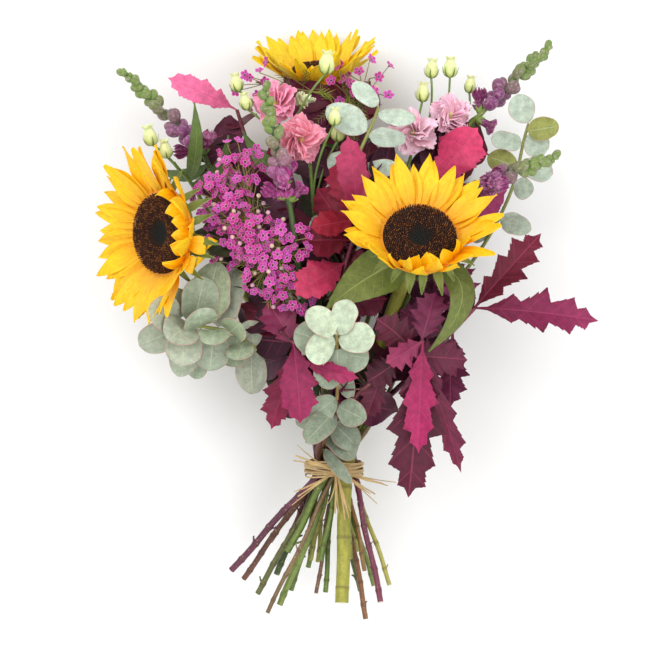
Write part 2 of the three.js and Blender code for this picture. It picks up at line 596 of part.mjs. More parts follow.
// Ray petals in two rows, rooted in a narrow ring round the disc.
function growRays(name) {
  const { centre, axis, s, t } = headOf(name);
  const { disc, ray, rise, curl: bend, grain } = SUNFLOWERS[name];
  const node = name + "_rays";
  const steps = 2 * RAYS; // a flat side for the root of each ray
  const ring = Array.from({ length: steps }, (_, k) => {
    const turn = (2 * Math.PI * (k + 0.5)) / steps;
    const out = toward([s, Math.cos(turn)], [t, Math.sin(turn)]);
    const inner = (disc + 0.4) / Math.cos(Math.PI / steps);
    const outer = disc + 4;
    return [[inner, -4], [inner, -1], [outer, -1], [outer, -4]].map(([r, h]) => at(centre, [out, r], [axis, h]));
  });
  grow(node, COLOUR.ray, loft(ring, true));
  for (let row = 0; row < 2; row++) {
    for (let i = 0; i < RAYS; i++) {
      const turn = (2 * Math.PI * (i + row / 2)) / RAYS;
      const out = toward([s, Math.cos(turn)], [t, Math.sin(turn)]);
      const aside = [axis.clone().cross(out), spread(0.09, grain, row, i, 1)];
      const lift = rise[0] + rise[1] * Math.sin(turn) + rise[2] * Math.sin(turn) ** 2 * 2 - 9 * row;
      const tilt = (lift + spread(3, grain, row, i, 2)) * DEG;
      const forward = toward([out, Math.cos(tilt)], [axis, Math.sin(tilt)], aside);
      const up = toward([axis, Math.cos(tilt)], [out, -Math.sin(tilt)]);
      const root = at(centre, [out, disc + 2.4], [axis, -2 - row]);
      const length = ray * (1 + spread(0.08, grain, row, i, 3));
      const turnUp = bend[0] + bend[1] * Math.min(0, Math.sin(turn)) + spread(8, grain, row, i, 4);
      const width = disc * 0.58 + spread(1, grain, row, i, 5);
      const way = curl(root, forward, up, length, turnUp * DEG);
      grow(node, COLOUR.ray, blade(way, up, width, RAY, { cup: 0.1, roll: 0.16 }));
    }
  }
}

// The disc: a low dome whose florets stand out as rows of points, turned half a step from ring to ring.
function growDisc(name) {
  const { centre, axis } = headOf(name);
  const { disc } = SUNFLOWERS[name];
  const profile = [
    [0, -4], [disc, -4], [disc, 3], [disc * 0.87, 6], [disc * 0.7, 7], [disc * 0.53, 6.4], [disc * 0.36, 5],
    [disc * 0.18, 4], [0, 4.2],
  ];
  const relief = (ring, k) => {
    if (ring < 3) return [0, 0, 0];
    return [0, k % 2 ? 0.8 : -0.8, ring / 2];
  };
  grow(name + "_disc", COLOUR.disc, turned(centre, axis, profile, 18, relief));
}

// ---- snapdragons --------------------------------------------------------------------------------------------

const LIP = [[0, 0.3], [0.6, 1], [1, 0.5]];

// A spike of buds that get smaller towards the tip, with open two-lipped flowers at its foot.
function growSpike(name) {
  const { from, buds, open, grain } = SNAPDRAGONS[name];
  const spike = [];
  for (let i = 0; i < buds; i++) {
    const up = i / (buds - 1);
    const { place, direction } = onStem(name, from + (0.99 - from) * up ** 0.8);
    const { s, t } = across(direction);
    const turn = GOLDEN * i + spread(0.3, grain, i, 1);
    const out = toward([s, Math.cos(turn)], [t, Math.sin(turn)]);
    const lean = (62 - 30 * up) * DEG;
    const forward = toward([out, Math.sin(lean)], [direction, Math.cos(lean)]);
    const size = i < open ? 11 : 10 - 4.6 * up;
    growClear(
      name,
      COLOUR.snap,
      12,
      (k) => {
        const swing = 0.25 * k * (k % 2 ? 1 : -1);
        const aim = toward([forward, 1], [out.clone().cross(direction), swing], [direction, 0.06 * k]);
        const length = size * (i < open ? 2.3 : 1.9);
        const points = [0, 0.45, 1].map((share) => at(place, [aim, share * length]));
        const pieces = [bar(points, [0, size * 0.46, 0], 4)];
        if (i < open) {
          const side = across(aim);
          for (const part of [-1, 1]) {
            const flare = side.t.clone().multiplyScalar(part);
            const ahead = toward([aim, 0.75], [flare, 0.65]);
            const face = toward([aim, 0.65], [flare, -0.75]);
            const root = at(points[1], [aim, -1], [flare, size * 0.24]);
            const way = curl(root, ahead, face, size * 1.6, -0.8);
            pieces.push(blade(way, face, size * 1.3, LIP, { cup: 0.2 }));
          }
        }
        return pieces;
      },
      spike,
    );
  }
}

// ---- lisianthus ---------------------------------------------------------------------------------------------

const PETAL = [[0, 0.22], [0.55, 1], [1, 0.66]];

// The way of a thin twig that leaves a stem along it and bends to a place, and its solid.
function twigWay(name, share, place, bend) {
  const { place: root, direction } = onStem(name, share);
  return arc(root, bend ? vec(bend) : at(root, [direction, root.distanceTo(place) * 0.5]), place);
}
function twig(way, radius, sides = 4) {
  return bar([0, 0.5, 1].map((u) => way.getPoint(u)), [radius, radius, radius], sides);
}

// A point on the solid of a twig, which is straight from its root to its middle and from there to its end.
function onTwig(way, u) {
  const from = u < 0.5 ? 0 : 0.5;
  return way.getPoint(from).lerp(way.getPoint(from + 0.5), 2 * (u - from));
}

function growBloom(node) {
  const { on, share, at: where, axis: facing, radius, tint } = BLOOMS[node];
  const axis = vec(facing).normalize();
  const base = at(vec(where), [axis, -radius * 0.75]);
  const { s, t } = across(axis);
  const grain = 20 + Object.keys(BLOOMS).indexOf(node);
  const under = at(base, [axis, -3]);
  grow(on, COLOUR.lisiGreen, twig(twigWay(on, share, under), 1.2));
  grow(on, COLOUR.lisiGreen, turned(under, axis, [[0, -2], [2.6, 0], [4, 3 - SEAT], [0, 3 - SEAT]], 6));
  const colour = COLOUR[tint];
  grow(node, colour, turned(base, axis, [[0, 0], [4, 0], [radius * 0.28, radius * 0.45], [0, radius * 0.7]], 6));
  const rows = node === "bloom_white" ? [[3, 80], [4, 66]] : [[3, 66], [5, 40]];
  rows.forEach(([count, rise], row) => {
    for (let i = 0; i < count; i++) {
      const turn = (2 * Math.PI * (i + row / 2 + spread(0.15, grain, row, i, 1))) / count;
      const out = toward([s, Math.cos(turn)], [t, Math.sin(turn)]);
      const tilt = (rise + spread(6, grain, row, i, 2)) * DEG;
      const aside = [axis.clone().cross(out), 0.24]; // each petal passes over the edge of the next
      const forward = toward([out, Math.cos(tilt)], [axis, Math.sin(tilt)], aside);
      const up = toward([axis, Math.cos(tilt)], [out, -Math.sin(tilt)]);
      const root = at(base, [out, 2], [axis, 3 - 2 * row]);
      const length = radius * (1.05 + spread(0.06, grain, row, i, 3));
      const width = radius * (0.75 + 0.2 * row);
      const turnUp = -0.5 + spread(0.3, grain, row, i, 4);
      growClear(node, colour, 5, (k) => {
        const shrink = 1 - 0.12 * k;
        const way = curl(root, forward, up, length * shrink, turnUp);
        return [blade(way, up, width * shrink, PETAL, { cup: 0.2, roll: 0.34 })];
      });
    }
  });
}

function growBud(n) {
  const [name, share, where, length, bend] = BUDS[n];
  growClear(name, COLOUR.lisiGreen, 12, (k) => {
    const tip = nudged(vec(where), k, 30, n);
    const root = onStem(name, share).place;
    const lean = toward([tip.clone().sub(root).normalize(), 0.5], [new THREE.Vector3(0, 1, 0), 0.9], [UP, 0.2]);
    const base = at(tip, [lean, -length * 0.5]);
    const points = [0, 0.2, 0.6, 1].map((u) => at(base, [lean, u * length]));
    const wide = length * 0.33;
    return [
      twig(twigWay(name, share, at(base, [lean, 1]), bend), 1),
      bar(points, [1.4, wide * 0.9, wide * 0.86, wide * 0.35], 5),
    ];
  });
}

// ---- waxflower ----------------------------------------------------------------------------------------------

const FLORET = 5.4; // radius of a floret
const STALK = 0.5; // radius of its stalk
const florets = []; // the florets so far with their stalks, which keep clear of each other

// A stalk that opens into a star of five petals round a hollow middle.
function floret(root, place, axis) {
  const { s, t } = across(axis);
  const ring = (height, count, radius, notch) =>
    Array.from({ length: count }, (_, k) => {
      const turn = (2 * Math.PI * k) / count;
      const r = radius - (k % 2) * notch;
      return at(place, [s, r * Math.cos(turn)], [t, r * Math.sin(turn)], [axis, height]);
    });
  const foot = ring(0, 5, STALK, 0).map((p) => p.add(root).sub(place));
  return loft([foot, ring(-1.8, 5, STALK, 0), ring(1.2, 10, FLORET, FLORET * 0.42), [place]]);
}

// A cluster of florets round the end of a twig, with a few needles.
function growCluster(n) {
  const [name, share, where, count] = CLUSTERS[n];
  const hub = at(vec(where), [UP, -4]);
  const way = twigWay(name, share, hub);
  grow(name, COLOUR.wax, twig(way, 1.4, 3));
  for (let i = 0; i < count; i++) {
    growClear(name, COLOUR.wax, 16, (k) => {
      const turn = GOLDEN * i + spread(0.5 + 0.1 * k, 50, n, i, k, 1);
      const out = new THREE.Vector3(Math.cos(turn), Math.sin(turn), 0);
      const reach = 4 + 11 * Math.sqrt((i + 0.4) / count);
      const place = at(hub, [out, reach], [UP, 6 + spread(4 + 0.6 * k, 50, n, i, k, 2)]);
      const root = onTwig(way, 1 - (0.6 * i) / count);
      const axis = toward([place.clone().sub(root).normalize(), 0.6], [UP, 0.8]);
      return [floret(root, place, axis)];
    }, florets);
  }
  growClear(name, COLOUR.wax, 12, (k) => {
    const turn = GOLDEN * (1 + 7 * k) + n;
    const root = onTwig(way, 0.6);
    const out = new THREE.Vector3(Math.cos(turn), Math.sin(turn), 0);
    const end = at(root, [out, 18], [UP, 6 + 6 * draw(51, n, k)]);
    return [bar([root, end], [0.9, 0], 3)];
  });
}

// ---- tie ----------------------------------------------------------------------------------------------------

// Raffia wound round the waist in three turns that lie against each other, with a knot and loose ends.
function growTie() {
  const steps = 16;
  const ring = Array.from({ length: steps }, (_, k) => {
    const turn = (2 * Math.PI * k) / steps;
    const out = new THREE.Vector3(Math.cos(turn), 0, Math.sin(turn));
    const inner = (BUNDLE + 0.8) / Math.cos(Math.PI / steps);
    const section = [[inner, -7], [inner, 7], [inner + 2.4, 4], [inner + 1.2, 0], [inner + 2.4, -4]];
    return section.map(([r, y]) => at(new THREE.Vector3(0, y, 0), [out, r]));
  });
  grow("raffia_tie", COLOUR.raffia, loft(ring, true));
  const knot = new THREE.Vector3(2, 0, BUNDLE + 3);
  grow("raffia_tie", COLOUR.raffia, turned(knot, UP, [[0, -3], [6, -1], [5.5, 2.5], [0, 4]], 7));
  const ends = [[50, -14, 30], [38, -22, 26], [1, -40, 30], [14, -44, 30], [-34, -24, 34], [-36, 14, 30]];
  ends.forEach(([x, y, z], i) => {
    growClear("raffia_tie", COLOUR.raffia, 20, (k) => {
      const end = nudged(new THREE.Vector3(x, y, z), k, 60, i);
      const middle = at(knot.clone().lerp(end, 0.5), [UP, 6]);
      return [blade(arc(knot, middle, end), UP, 3, [[0, 1], [0.5, 1], [1, 0.6]], { thick: 1 })];
    });
  });
}

// ---- the bunch ----------------------------------------------------------------------------------------------

const colourOf = (name) => {
  if (name.startsWith("sunflower")) return COLOUR.sunGreen;
  if (name.startsWith("snapdragon")) return COLOUR.snap;
  if (name.startsWith("lisianthus")) return COLOUR.lisiGreen;
  if (name.startsWith("waxflower")) return COLOUR.wax;
  return name.startsWith("eucalyptus") ? COLOUR.eucalyptus : COLOUR.oak;
};

for (const name of Object.keys(STEMS)) growStem(name, colourOf(name), name.startsWith("sunflower") ? 1 : 0.7);
growTie();
for (const name of Object.keys(SUNFLOWERS)) {
  growCup(name);
  growDisc(name);
  growRays(name);
}
for (const name of Object.keys(SNAPDRAGONS)) growSpike(name);
for (const node of Object.keys(BLOOMS)) growBloom(node);
BUDS.forEach((_, n) => growBud(n));
CLUSTERS.forEach((_, n) => growCluster(n));
GREEN_LEAVES.forEach(([name, share, middle, tip, width], n) => {
  growLeaf(name, colourOf(name), share, tip, width, POINTED_LEAF, 70, n, { middle });
});
for (const [leaves, outline, grain, cup] of [
  [EUCALYPTUS_LEAVES, ROUND_LEAF, 80, 0.12],
  [OAK_LEAVES, OAK_LEAF, 90, 0.18],
]) {
  let n = 0;
  for (const [name, list] of Object.entries(leaves)) {
    for (const [share, tip, width] of list) {
      growLeaf(name, colourOf(name), share, tip, width, outline, grain, n, { cup });
      n++;
    }
  }
}

// The bunch as a scene: a mesh for each plant, with its pieces joined.
const bunch = new THREE.Group();
bunch.position.set(...TIE_AT);
for (const [name, { colour, bodies }] of plants) {
  const joined = wasm.Manifold.union(bodies).trimByPlane([0, 0, 1], SURFACE).simplify(0.1);
  const { numProp, vertProperties, triVerts } = joined.getMesh();
  const corners = new THREE.InterleavedBuffer(vertProperties, numProp);
  const geometry = new THREE.BufferGeometry();
  geometry.setAttribute("position", new THREE.InterleavedBufferAttribute(corners, 3, 0));
  geometry.setIndex(new THREE.BufferAttribute(triVerts, 1));
  const material = new THREE.MeshStandardMaterial({ color: colour, roughness: 0.6, metalness: 0 });
  const mesh = new THREE.Mesh(geometry, material);
  mesh.name = name;
  bunch.add(mesh);
}

export default bunch;
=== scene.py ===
"""A hand-tied bunch of sunflowers with mixed flowers and foliage, lying on its back.

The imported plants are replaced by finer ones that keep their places. Sizes are in millimetres, and places are
measured from the middle of the tie, as in the part's source: X to the right, Y towards the flowers, Z up.
"""

from math import cos, hypot, pi, radians, sin, sqrt

import bpy
import numpy as np
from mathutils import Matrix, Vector
from mathutils.bvhtree import BVHTree


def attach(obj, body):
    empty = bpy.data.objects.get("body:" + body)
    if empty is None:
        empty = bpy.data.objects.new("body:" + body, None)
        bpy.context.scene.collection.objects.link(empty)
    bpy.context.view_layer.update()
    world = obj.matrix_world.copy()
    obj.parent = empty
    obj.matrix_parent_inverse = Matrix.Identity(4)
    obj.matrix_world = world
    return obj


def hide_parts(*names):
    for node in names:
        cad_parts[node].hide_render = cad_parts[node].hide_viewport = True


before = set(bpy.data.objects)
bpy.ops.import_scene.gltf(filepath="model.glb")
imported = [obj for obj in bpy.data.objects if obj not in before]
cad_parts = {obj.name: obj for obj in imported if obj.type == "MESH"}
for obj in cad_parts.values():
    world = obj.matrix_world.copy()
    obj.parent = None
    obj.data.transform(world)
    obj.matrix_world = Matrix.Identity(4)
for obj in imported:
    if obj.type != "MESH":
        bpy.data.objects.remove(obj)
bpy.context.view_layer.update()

# ---- the plan of the bunch, as in the part's source ----

TIE_AT = np.array([-9.5, -143, 78])
SURFACE = -78  # what the bunch lies on
SPIRAL = 0.0225  # how fast the stems turn round each other, in radians a millimetre
FAN, DRIFT = 0.03, 0.2  # how far the feet spread, and lean to the left, for each millimetre below the tie
BOW_END = 110  # the height above the tie where a stem's extra bow ends
WAIST, STEM_GAP = 25, 0.4  # how wide the stems stand at the tie at most, and how far apart
SLACK, PULL, ROUNDS = 1.1, 0.997, 600  # how the stems are packed at the tie: room round each, pull to the middle
NECK = 14  # from a sunflower's stem to its disc
RAYS, BRACTS = 10, 9
FLORET = 5.4
GOLDEN = 2.39996  # the turn from one leaf, bud or floret to the next, in radians
UP = np.array([0.0, 0.0, 1.0])
TOUCH = 0.3  # a place this near to a packed surface is on it
METRE = 1000
ROUND = 6.2832  # a whole turn, for drawn angles


def stem(foot, radius, via, head, **more):
    return {"foot": foot, "radius": radius, "via": via, "head": head, **more}


# Each stem: how far its foot is below the tie, its radius, places on its way, its head, and what sets it apart:
# the way its head faces (end), its place at the tie (pin) and on its foot's cut (toe), and an extra bow.
STEMS = {
    "sunflower_right": stem(
        122, 6.2, [[50, 138, 40]], [76, 208, 90], end=[0.05, 0.5, 0.86], pin=[11, 12], toe=[7, 40],
    ),
    "sunflower_left": stem(82, 5.4, [], [-149, 221, 52], end=[-0.72, -0.05, 0.69], toe=[20, -20]),
    "sunflower_top": stem(84, 5.2, [], [-16, 366, -34], end=[-0.05, 0.92, 0.39], toe=[12, 18]),
    "snapdragon_left": stem(
        118, 2.9, [[-108, 262, 8], [-131, 305, 18]], [-198, 375, 10], bow=[-0.5, -3], toe=[26, -12],
    ),
    "snapdragon_middle": stem(104, 2.9, [[-36, 215, 80], [-45, 262, 92]], [-63, 349, 97]),
    "snapdragon_high": stem(128, 2.9, [[112, 290, -4], [143, 340, 3]], [204, 399, 0], bow=[-2, 2]),
    "snapdragon_right": stem(78, 2.9, [[112, 240, 44], [143, 268, 52]], [204, 291, 45], bow=[19, 3], toe=[-44, 12]),
    "lisianthus_left": stem(112, 2.2, [[-118, 240, -4]], [-150, 288, 28], bow=[2, 0], toe=[38, -2]),
    "lisianthus_middle": stem(118, 2.3, [[-34, 220, 16]], [-52, 322, 32]),
    "lisianthus_centre": stem(96, 2.3, [[-14, 170, 34]], [-22, 284, 48], bow=[0, -3]),
    "lisianthus_right": stem(116, 2.3, [[52, 210, 12]], [72, 294, 20]),
    "lisianthus_high": stem(86, 2.3, [[80, 236, -8]], [106, 316, 0], bow=[0, 1]),
    "waxflower": stem(100, 2, [[-40, 120, 44]], [-62, 200, 66]),
    "waxflower_high": stem(118, 1.8, [[4, 220, -14]], [16, 340, 4]),
    "eucalyptus_low": stem(92, 2.1, [[-73, 115, 42]], [-146, 139, 58]),
    "eucalyptus_front": stem(72, 2.1, [[2, 62, 52]], [2, 128, 96], end=[0, 0.4, 0.9]),
    "eucalyptus_middle": stem(88, 2, [[10, 240, 48]], [41, 337, 56], toe=[-22, -5]),
    "eucalyptus_right": stem(134, 2, [[150, 225, 2]], [183, 325, 18], bow=[12, 21]),
    "eucalyptus_back_left": stem(96, 2, [[-40, 150, -45]], [-95, 285, -62], toe=[29, 13]),
    "eucalyptus_back_right": stem(108, 2, [[50, 150, -45]], [100, 268, -62], pin=[16, -9], toe=[52, 22]),
    "oak_right": stem(98, 3, [[66, 84, 40]], [130, 152, 46], toe=[-98, -8]),
    "oak_front": stem(108, 2.6, [[34, 70, 56]], [80, 122, 90], bow=[-16, 9]),
    "oak_high": stem(120, 2.6, [[62, 190, 24]], [90, 266, 28]),
    "oak_centre": stem(72, 2.6, [[2, 150, 52]], [28, 252, 70]),
    "oak_left": stem(90, 2.6, [[-20, 70, 52]], [-38, 122, 74], bow=[-2, 1]),
    "oak_top_left": stem(142, 2.4, [[-58, 230, -12]], [-92, 340, 4], toe=[30, 8]),
    "oak_back": stem(121, 2.6, [[14, 140, -44]], [10, 262, -60], pin=[19, -2], bow=[1, 2], toe=[43, 42]),
}

# Leaves as [share of the way up the stem, tip, width].
EUCALYPTUS_LEAVES = {
    "eucalyptus_low": [
        [1, [-147, 178, 72], 34], [0.95, [-139, 99, 68], 37], [0.93, [-180, 118, 52], 30],
        [0.895, [-119, 180, 66], 34], [0.86, [-145, 89, 48], 30], [0.82, [-107, 194, 58], 38],
        [0.84, [-128, 86, 42], 26], [0.74, [-90, 188, 46], 34], [0.76, [-115, 94, 54], 32],
        [0.6, [-102, 100, 42], 32], [0.52, [-76, 72, 34], 30], [0.5, [-78, 140, 54], 28], [0.4, [-59, 129, 40], 24],
    ],
    "eucalyptus_front": [
        [1, [-25, 148, 104], 27], [0.965, [14, 158, 100], 25], [0.93, [36, 126, 104], 28],
        [0.895, [-26, 113, 102], 29], [0.86, [-36, 130, 84], 34], [0.825, [31, 106, 88], 30],
        [0.86, [4, 94, 80], 30], [0.78, [-12, 80, 72], 28], [0.62, [18, 84, 68], 26], [0.56, [-34, 44, 58], 28],
        [0.5, [24, 42, 58], 24], [0.36, [18, 24, 44], 26], [0.46, [-20, 18, 60], 24], [0.26, [18, 12, 44], 22],
        [0.14, [-10, -6, 34], 12],
    ],
    "eucalyptus_middle": [
        [1, [17, 358, 60], 17], [0.965, [75, 326, 54], 16], [0.86, [-2, 336, 60], 27], [0.84, [66, 307, 52], 18],
        [0.66, [-6, 288, 50], 22], [0.62, [58, 284, 46], 18], [0.54, [-14, 268, 58], 28],
        [0.42, [-18, 238, 52], 28],
    ],
    "eucalyptus_right": [
        [1, [172, 353, 12], 24], [0.965, [210, 322, 28], 22], [0.93, [202, 302, 10], 26],
        [0.895, [148, 312, 20], 18], [0.78, [206, 278, 10], 22], [0.76, [146, 296, 4], 22],
        [0.66, [188, 264, 14], 20], [0.54, [186, 226, 8], 20], [0.5, [120, 232, -14], 26],
    ],
    "eucalyptus_back_left": [
        [1, [-122, 322, -72], 34], [0.965, [-136, 282, -70], 36], [0.93, [-62, 306, -66], 34],
        [0.82, [-128, 244, -73], 38], [0.775, [-52, 264, -62], 36], [0.66, [-108, 206, -78.9], 36],
        [0.62, [-22, 216, -66], 32], [0.48, [-80, 158, -60], 32], [0.46, [-4, 168, -60], 30],
    ],
    "eucalyptus_back_right": [
        [1, [132, 304, -70], 34], [0.965, [144, 262, -70], 36], [0.93, [70, 296, -66], 34],
        [0.82, [134, 222, -78], 38], [0.78, [56, 250, -68], 36], [0.66, [116, 184, -68], 36],
        [0.62, [42, 204, -68], 32], [0.48, [92, 140, -56], 32],
    ],
}

OAK_LEAVES = {
    "oak_front": [
        [0.98, [68, -22, 64], 50], [1, [76, 20, 86], 30], [0.96, [117, 0, 54], 22], [1, [46, 102, 99], 26],
        [0.92, [38, 142, 94], 36], [0.86, [122, 104, 66], 36], [0.8, [30, 84, 76], 34], [0.98, [92, 166, 78], 34],
        [0.7, [30, 52, 60], 26],
    ],
    "oak_right": [
        [1, [243, 140, 56], 38], [0.98, [192, 221, 42], 34], [0.84, [108, 60, 40], 34], [0.7, [64, 30, 50], 30],
        [0.8, [60, 150, 50], 36], [0.92, [110, 196, 48], 36],
    ],
    "oak_high": [[1, [134, 320, 34], 42], [0.72, [162, 262, 26], 44], [0.6, [30, 250, 34], 34]],
    "oak_centre": [
        [0.88, [12, 308, 80], 30], [0.9, [2, 286, 64], 32], [0.9, [-22, 224, 90], 26], [0.8, [-30, 212, 80], 34],
        [0.7, [-35, 163, 88], 36], [0.52, [48, 160, 66], 34], [0.82, [-16, 262, 58], 34], [0.6, [34, 200, 58], 34],
    ],
    "oak_left": [[1, [-31, 46, 72], 36], [0.9, [-58, 40, 54], 28], [0.8, [22, 88, 84], 17], [0.95, [-62, 158, 62], 34]],
    "oak_top_left": [[1, [-157, 370, 8], 26], [0.86, [-104, 296, -24], 28], [0.72, [-40, 300, -20], 28]],
    "oak_back": [
        [1, [6, 318, -72], 40], [0.9, [44, 262, -70], 34], [0.84, [-44, 236, -66], 34], [0.6, [14, 90, -75.8], 34],
        [0.5, [-36, 150, -62], 32],
    ],
}

# Leaves of the flower stems: [node, share of the way, bend point, tip, width].
GREEN_LEAVES = [
    ["sunflower_right", 0.86, [40, 192, 76], [-8, 150, 97], 44],
    ["sunflower_right", 0.93, [150, 176, 108], [85, 112, 88], 24],
    ["sunflower_left", 0.8, [-96, 196, 44], [-84, 236, 60], 30],
    ["sunflower_top", 0.82, [10, 300, -50], [46, 318, -60], 34],
    ["lisianthus_left", 0.72, [-120, 290, 34], [-126, 340, 42], 15],
    ["lisianthus_left", 0.66, [-104, 270, 30], [-98, 312, 42], 13],
    ["lisianthus_middle", 0.74, [-66, 280, 30], [-86, 318, 26], 16],
    ["lisianthus_centre", 0.7, [-10, 240, 50], [4, 268, 66], 14],
    ["lisianthus_right", 0.7, [66, 240, 26], [92, 262, 52], 14],
    ["lisianthus_high", 0.72, [104, 272, 6], [126, 300, 4], 14],
    ["snapdragon_high", 0.52, [128, 306, -10], [150, 300, -28], 13],
    ["snapdragon_left", 0.42, [-140, 270, -6], [-168, 286, -16], 13],
]

SUNFLOWERS = {
    "sunflower_right": {"disc": 33, "ray": 46, "rise": [42, -14, 0], "curl": [-8, -38], "grain": 1},
    "sunflower_left": {"disc": 37, "ray": 50, "rise": [37, -8, -3], "curl": [-7, -36], "grain": 2},
    "sunflower_top": {"disc": 25, "ray": 45, "rise": [46, 0, 0], "curl": [6, 0], "grain": 3},
}

SNAPDRAGONS = {
    "snapdragon_left": {"from": 0.56, "buds": 13, "open": 2, "grain": 11},
    "snapdragon_middle": {"from": 0.52, "buds": 14, "open": 4, "grain": 12},
    "snapdragon_high": {"from": 0.58, "buds": 13, "open": 2, "grain": 13},
    "snapdragon_right": {"from": 0.5, "buds": 13, "open": 3, "grain": 14},
}

# Open blooms: [spray, share of the way, place, the way it faces, radius].
BLOOMS = {
    "bloom_pink_left": ["lisianthus_middle", 0.9, [-58, 345, 46], [-0.3, 0.25, 0.92], 24],
    "bloom_pink_centre": ["lisianthus_centre", 0.95, [-28, 306, 64], [0.25, -0.1, 0.96], 24],
    "bloom_pink_right": ["lisianthus_right", 0.95, [72, 318, 34], [-0.25, 0.2, 0.95], 24],
    "bloom_pink_high": ["lisianthus_high", 0.95, [112, 338, 14], [0.2, 0.4, 0.9], 22],
    "bloom_white": ["lisianthus_middle", 0.8, [-28, 352, 34], [0.1, 0.75, 0.65], 17],
}

# Closed lisianthus buds: [spray, share of the way, place, length, bend of the twig if it passes a bloom].
BUDS = [
    ["lisianthus_middle", 0.7, [-15, 380, 42], 22], ["lisianthus_centre", 0.8, [-6, 333, 62], 17],
    ["lisianthus_centre", 0.72, [4, 316, 44], 20], ["lisianthus_middle", 0.86, [-91, 362, 36], 18],
    ["lisianthus_middle", 0.8, [-82, 343, 48], 17], ["lisianthus_left", 0.96, [-171, 312, 42], 20],
    ["lisianthus_left", 0.9, [-157, 300, 36], 18], ["lisianthus_right", 0.8, [98, 382, 10], 19, [98, 326, -6]],
    ["lisianthus_right", 0.86, [84, 356, 12], 19, [78, 322, 2]],
    ["lisianthus_high", 0.86, [114, 376, 8], 20, [110, 340, -10]],
    ["lisianthus_high", 0.8, [142, 352, 8], 17, [134, 326, -8]],
]

# Clusters of waxflower: [spray, share of the way, place, florets].
CLUSTERS = [
    ["waxflower", 1, [-72, 217, 88], 4], ["waxflower", 0.95, [-109, 252, 72], 3],
    ["waxflower", 0.9, [-88, 281, 76], 4], ["waxflower", 0.92, [-48, 212, 86], 4],
    ["waxflower", 0.84, [-64, 188, 82], 3], ["waxflower", 0.76, [-40, 168, 78], 3],
    ["waxflower", 0.8, [-88, 240, 80], 4], ["waxflower", 0.7, [-94, 214, 66], 3],
    ["waxflower_high", 0.98, [8, 360, 18], 3], ["waxflower_high", 0.84, [34, 370, 6], 3],
    ["waxflower_high", 0.9, [-74, 366, 10], 3],
]

# ---- colours, as red, green and blue from 0 to 255 ----


def rgb(red, green, blue):
    share = np.array([red, green, blue]) / 255
    return np.where(share <= 0.04045, share / 12.92, ((share + 0.055) / 1.055) ** 2.4)


def mixed(a, b, share):
    return np.asarray(a) * (1 - share) + np.asarray(b) * share


OAK_TINTS = {
    "oak_front": [
        (88, 22, 48), (160, 36, 88), (116, 32, 66), (150, 50, 90), (84, 20, 44), (100, 30, 58), (76, 20, 40),
        (118, 38, 76), (92, 28, 50),
    ],
    "oak_right": [(136, 36, 80), (106, 14, 44), (96, 28, 60), (84, 24, 48), (96, 30, 62), (122, 38, 84)],
    "oak_high": [(214, 62, 108), (140, 34, 86), (152, 28, 52)],
    "oak_centre": [
        (168, 50, 88), (154, 34, 60), (146, 26, 46), (120, 24, 44), (180, 48, 84), (96, 22, 46), (134, 30, 52),
        (106, 24, 44),
    ],
    "oak_left": [(146, 36, 82), (122, 26, 60), (152, 40, 84), (130, 46, 80)],
    "oak_top_left": [(240, 112, 160), (214, 76, 124), (150, 44, 80)],
    "oak_back": [(104, 30, 58), (118, 34, 66), (96, 26, 52), (110, 36, 66), (90, 26, 48)],
}
SAGE = rgb(158, 172, 148)
MINT = rgb(190, 204, 178)
PALE_MINT = rgb(184, 200, 184)
OLIVE = rgb(150, 156, 78)
STEM_TINTS = {
    "sunflower": [(160, 170, 72)],
    "snapdragon": [(100, 120, 50), (86, 108, 46)],
    "lisianthus": [(94, 116, 48), (106, 128, 58)],
    "waxflower": [(128, 92, 66), (110, 78, 62)],
    "eucalyptus": [(150, 112, 66), (164, 158, 76), (132, 96, 62)],
    "oak": [(98, 48, 66), (118, 66, 62)],
}

FOOT_TINTS = {
    "sunflower_right": (148, 146, 50), "sunflower_left": (150, 152, 64), "sunflower_top": (138, 150, 60),
    "oak_right": (92, 38, 62), "oak_front": (106, 66, 52), "oak_high": (96, 100, 52), "oak_centre": (84, 44, 48),
    "oak_left": (110, 52, 66), "oak_top_left": (128, 86, 54), "oak_back": (112, 44, 70),
    "snapdragon_left": (74, 94, 42), "snapdragon_middle": (62, 84, 40), "snapdragon_high": (116, 134, 62),
    "eucalyptus_right": (116, 92, 60), "eucalyptus_low": (160, 158, 76), "waxflower": (108, 76, 52),
}

# ---- small helpers ----


def vec(*p):
    return np.array(p, float)


def unit(v):
    return v / np.maximum(np.linalg.norm(v, axis=-1, keepdims=True), 1e-9)


def draw(*keys):
    """The part's own number from 0 to 1 that depends only on its whole-number keys."""
    h = 2166136261
    for key in keys:
        h = ((h ^ (int(key) + 40503)) * 16777619) & 0xFFFFFFFF
        h = ((h ^ (h >> 13)) * 1540483477) & 0xFFFFFFFF
        h ^= h >> 15
    return h / 4294967296


def spread(amount, *keys):
    return amount * (2 * draw(*keys) - 1)


def turns(n):
    """Angles that share out a whole turn."""
    return 2 * pi * np.arange(n) / n


def level(turn):
    return vec(cos(turn), sin(turn), 0)


def across(d):
    """Two ways that are square to d and to each other."""
    s = unit(np.cross(d, UP if abs(d[2]) < 0.98 else vec(0, 1, 0)))
    return s, np.cross(d, s)


def around(s, t, turn):
    """The way out from an axis that has s and t across it."""
    return unit(s * cos(turn) + t * sin(turn))


def raised(out, axis, tilt, aside=0.0):
    """The way out, raised by tilt towards the axis, and the way up from it."""
    forward = unit(out * cos(tilt) + axis * sin(tilt) + aside)
    return forward, unit(axis * cos(tilt) - out * sin(tilt))


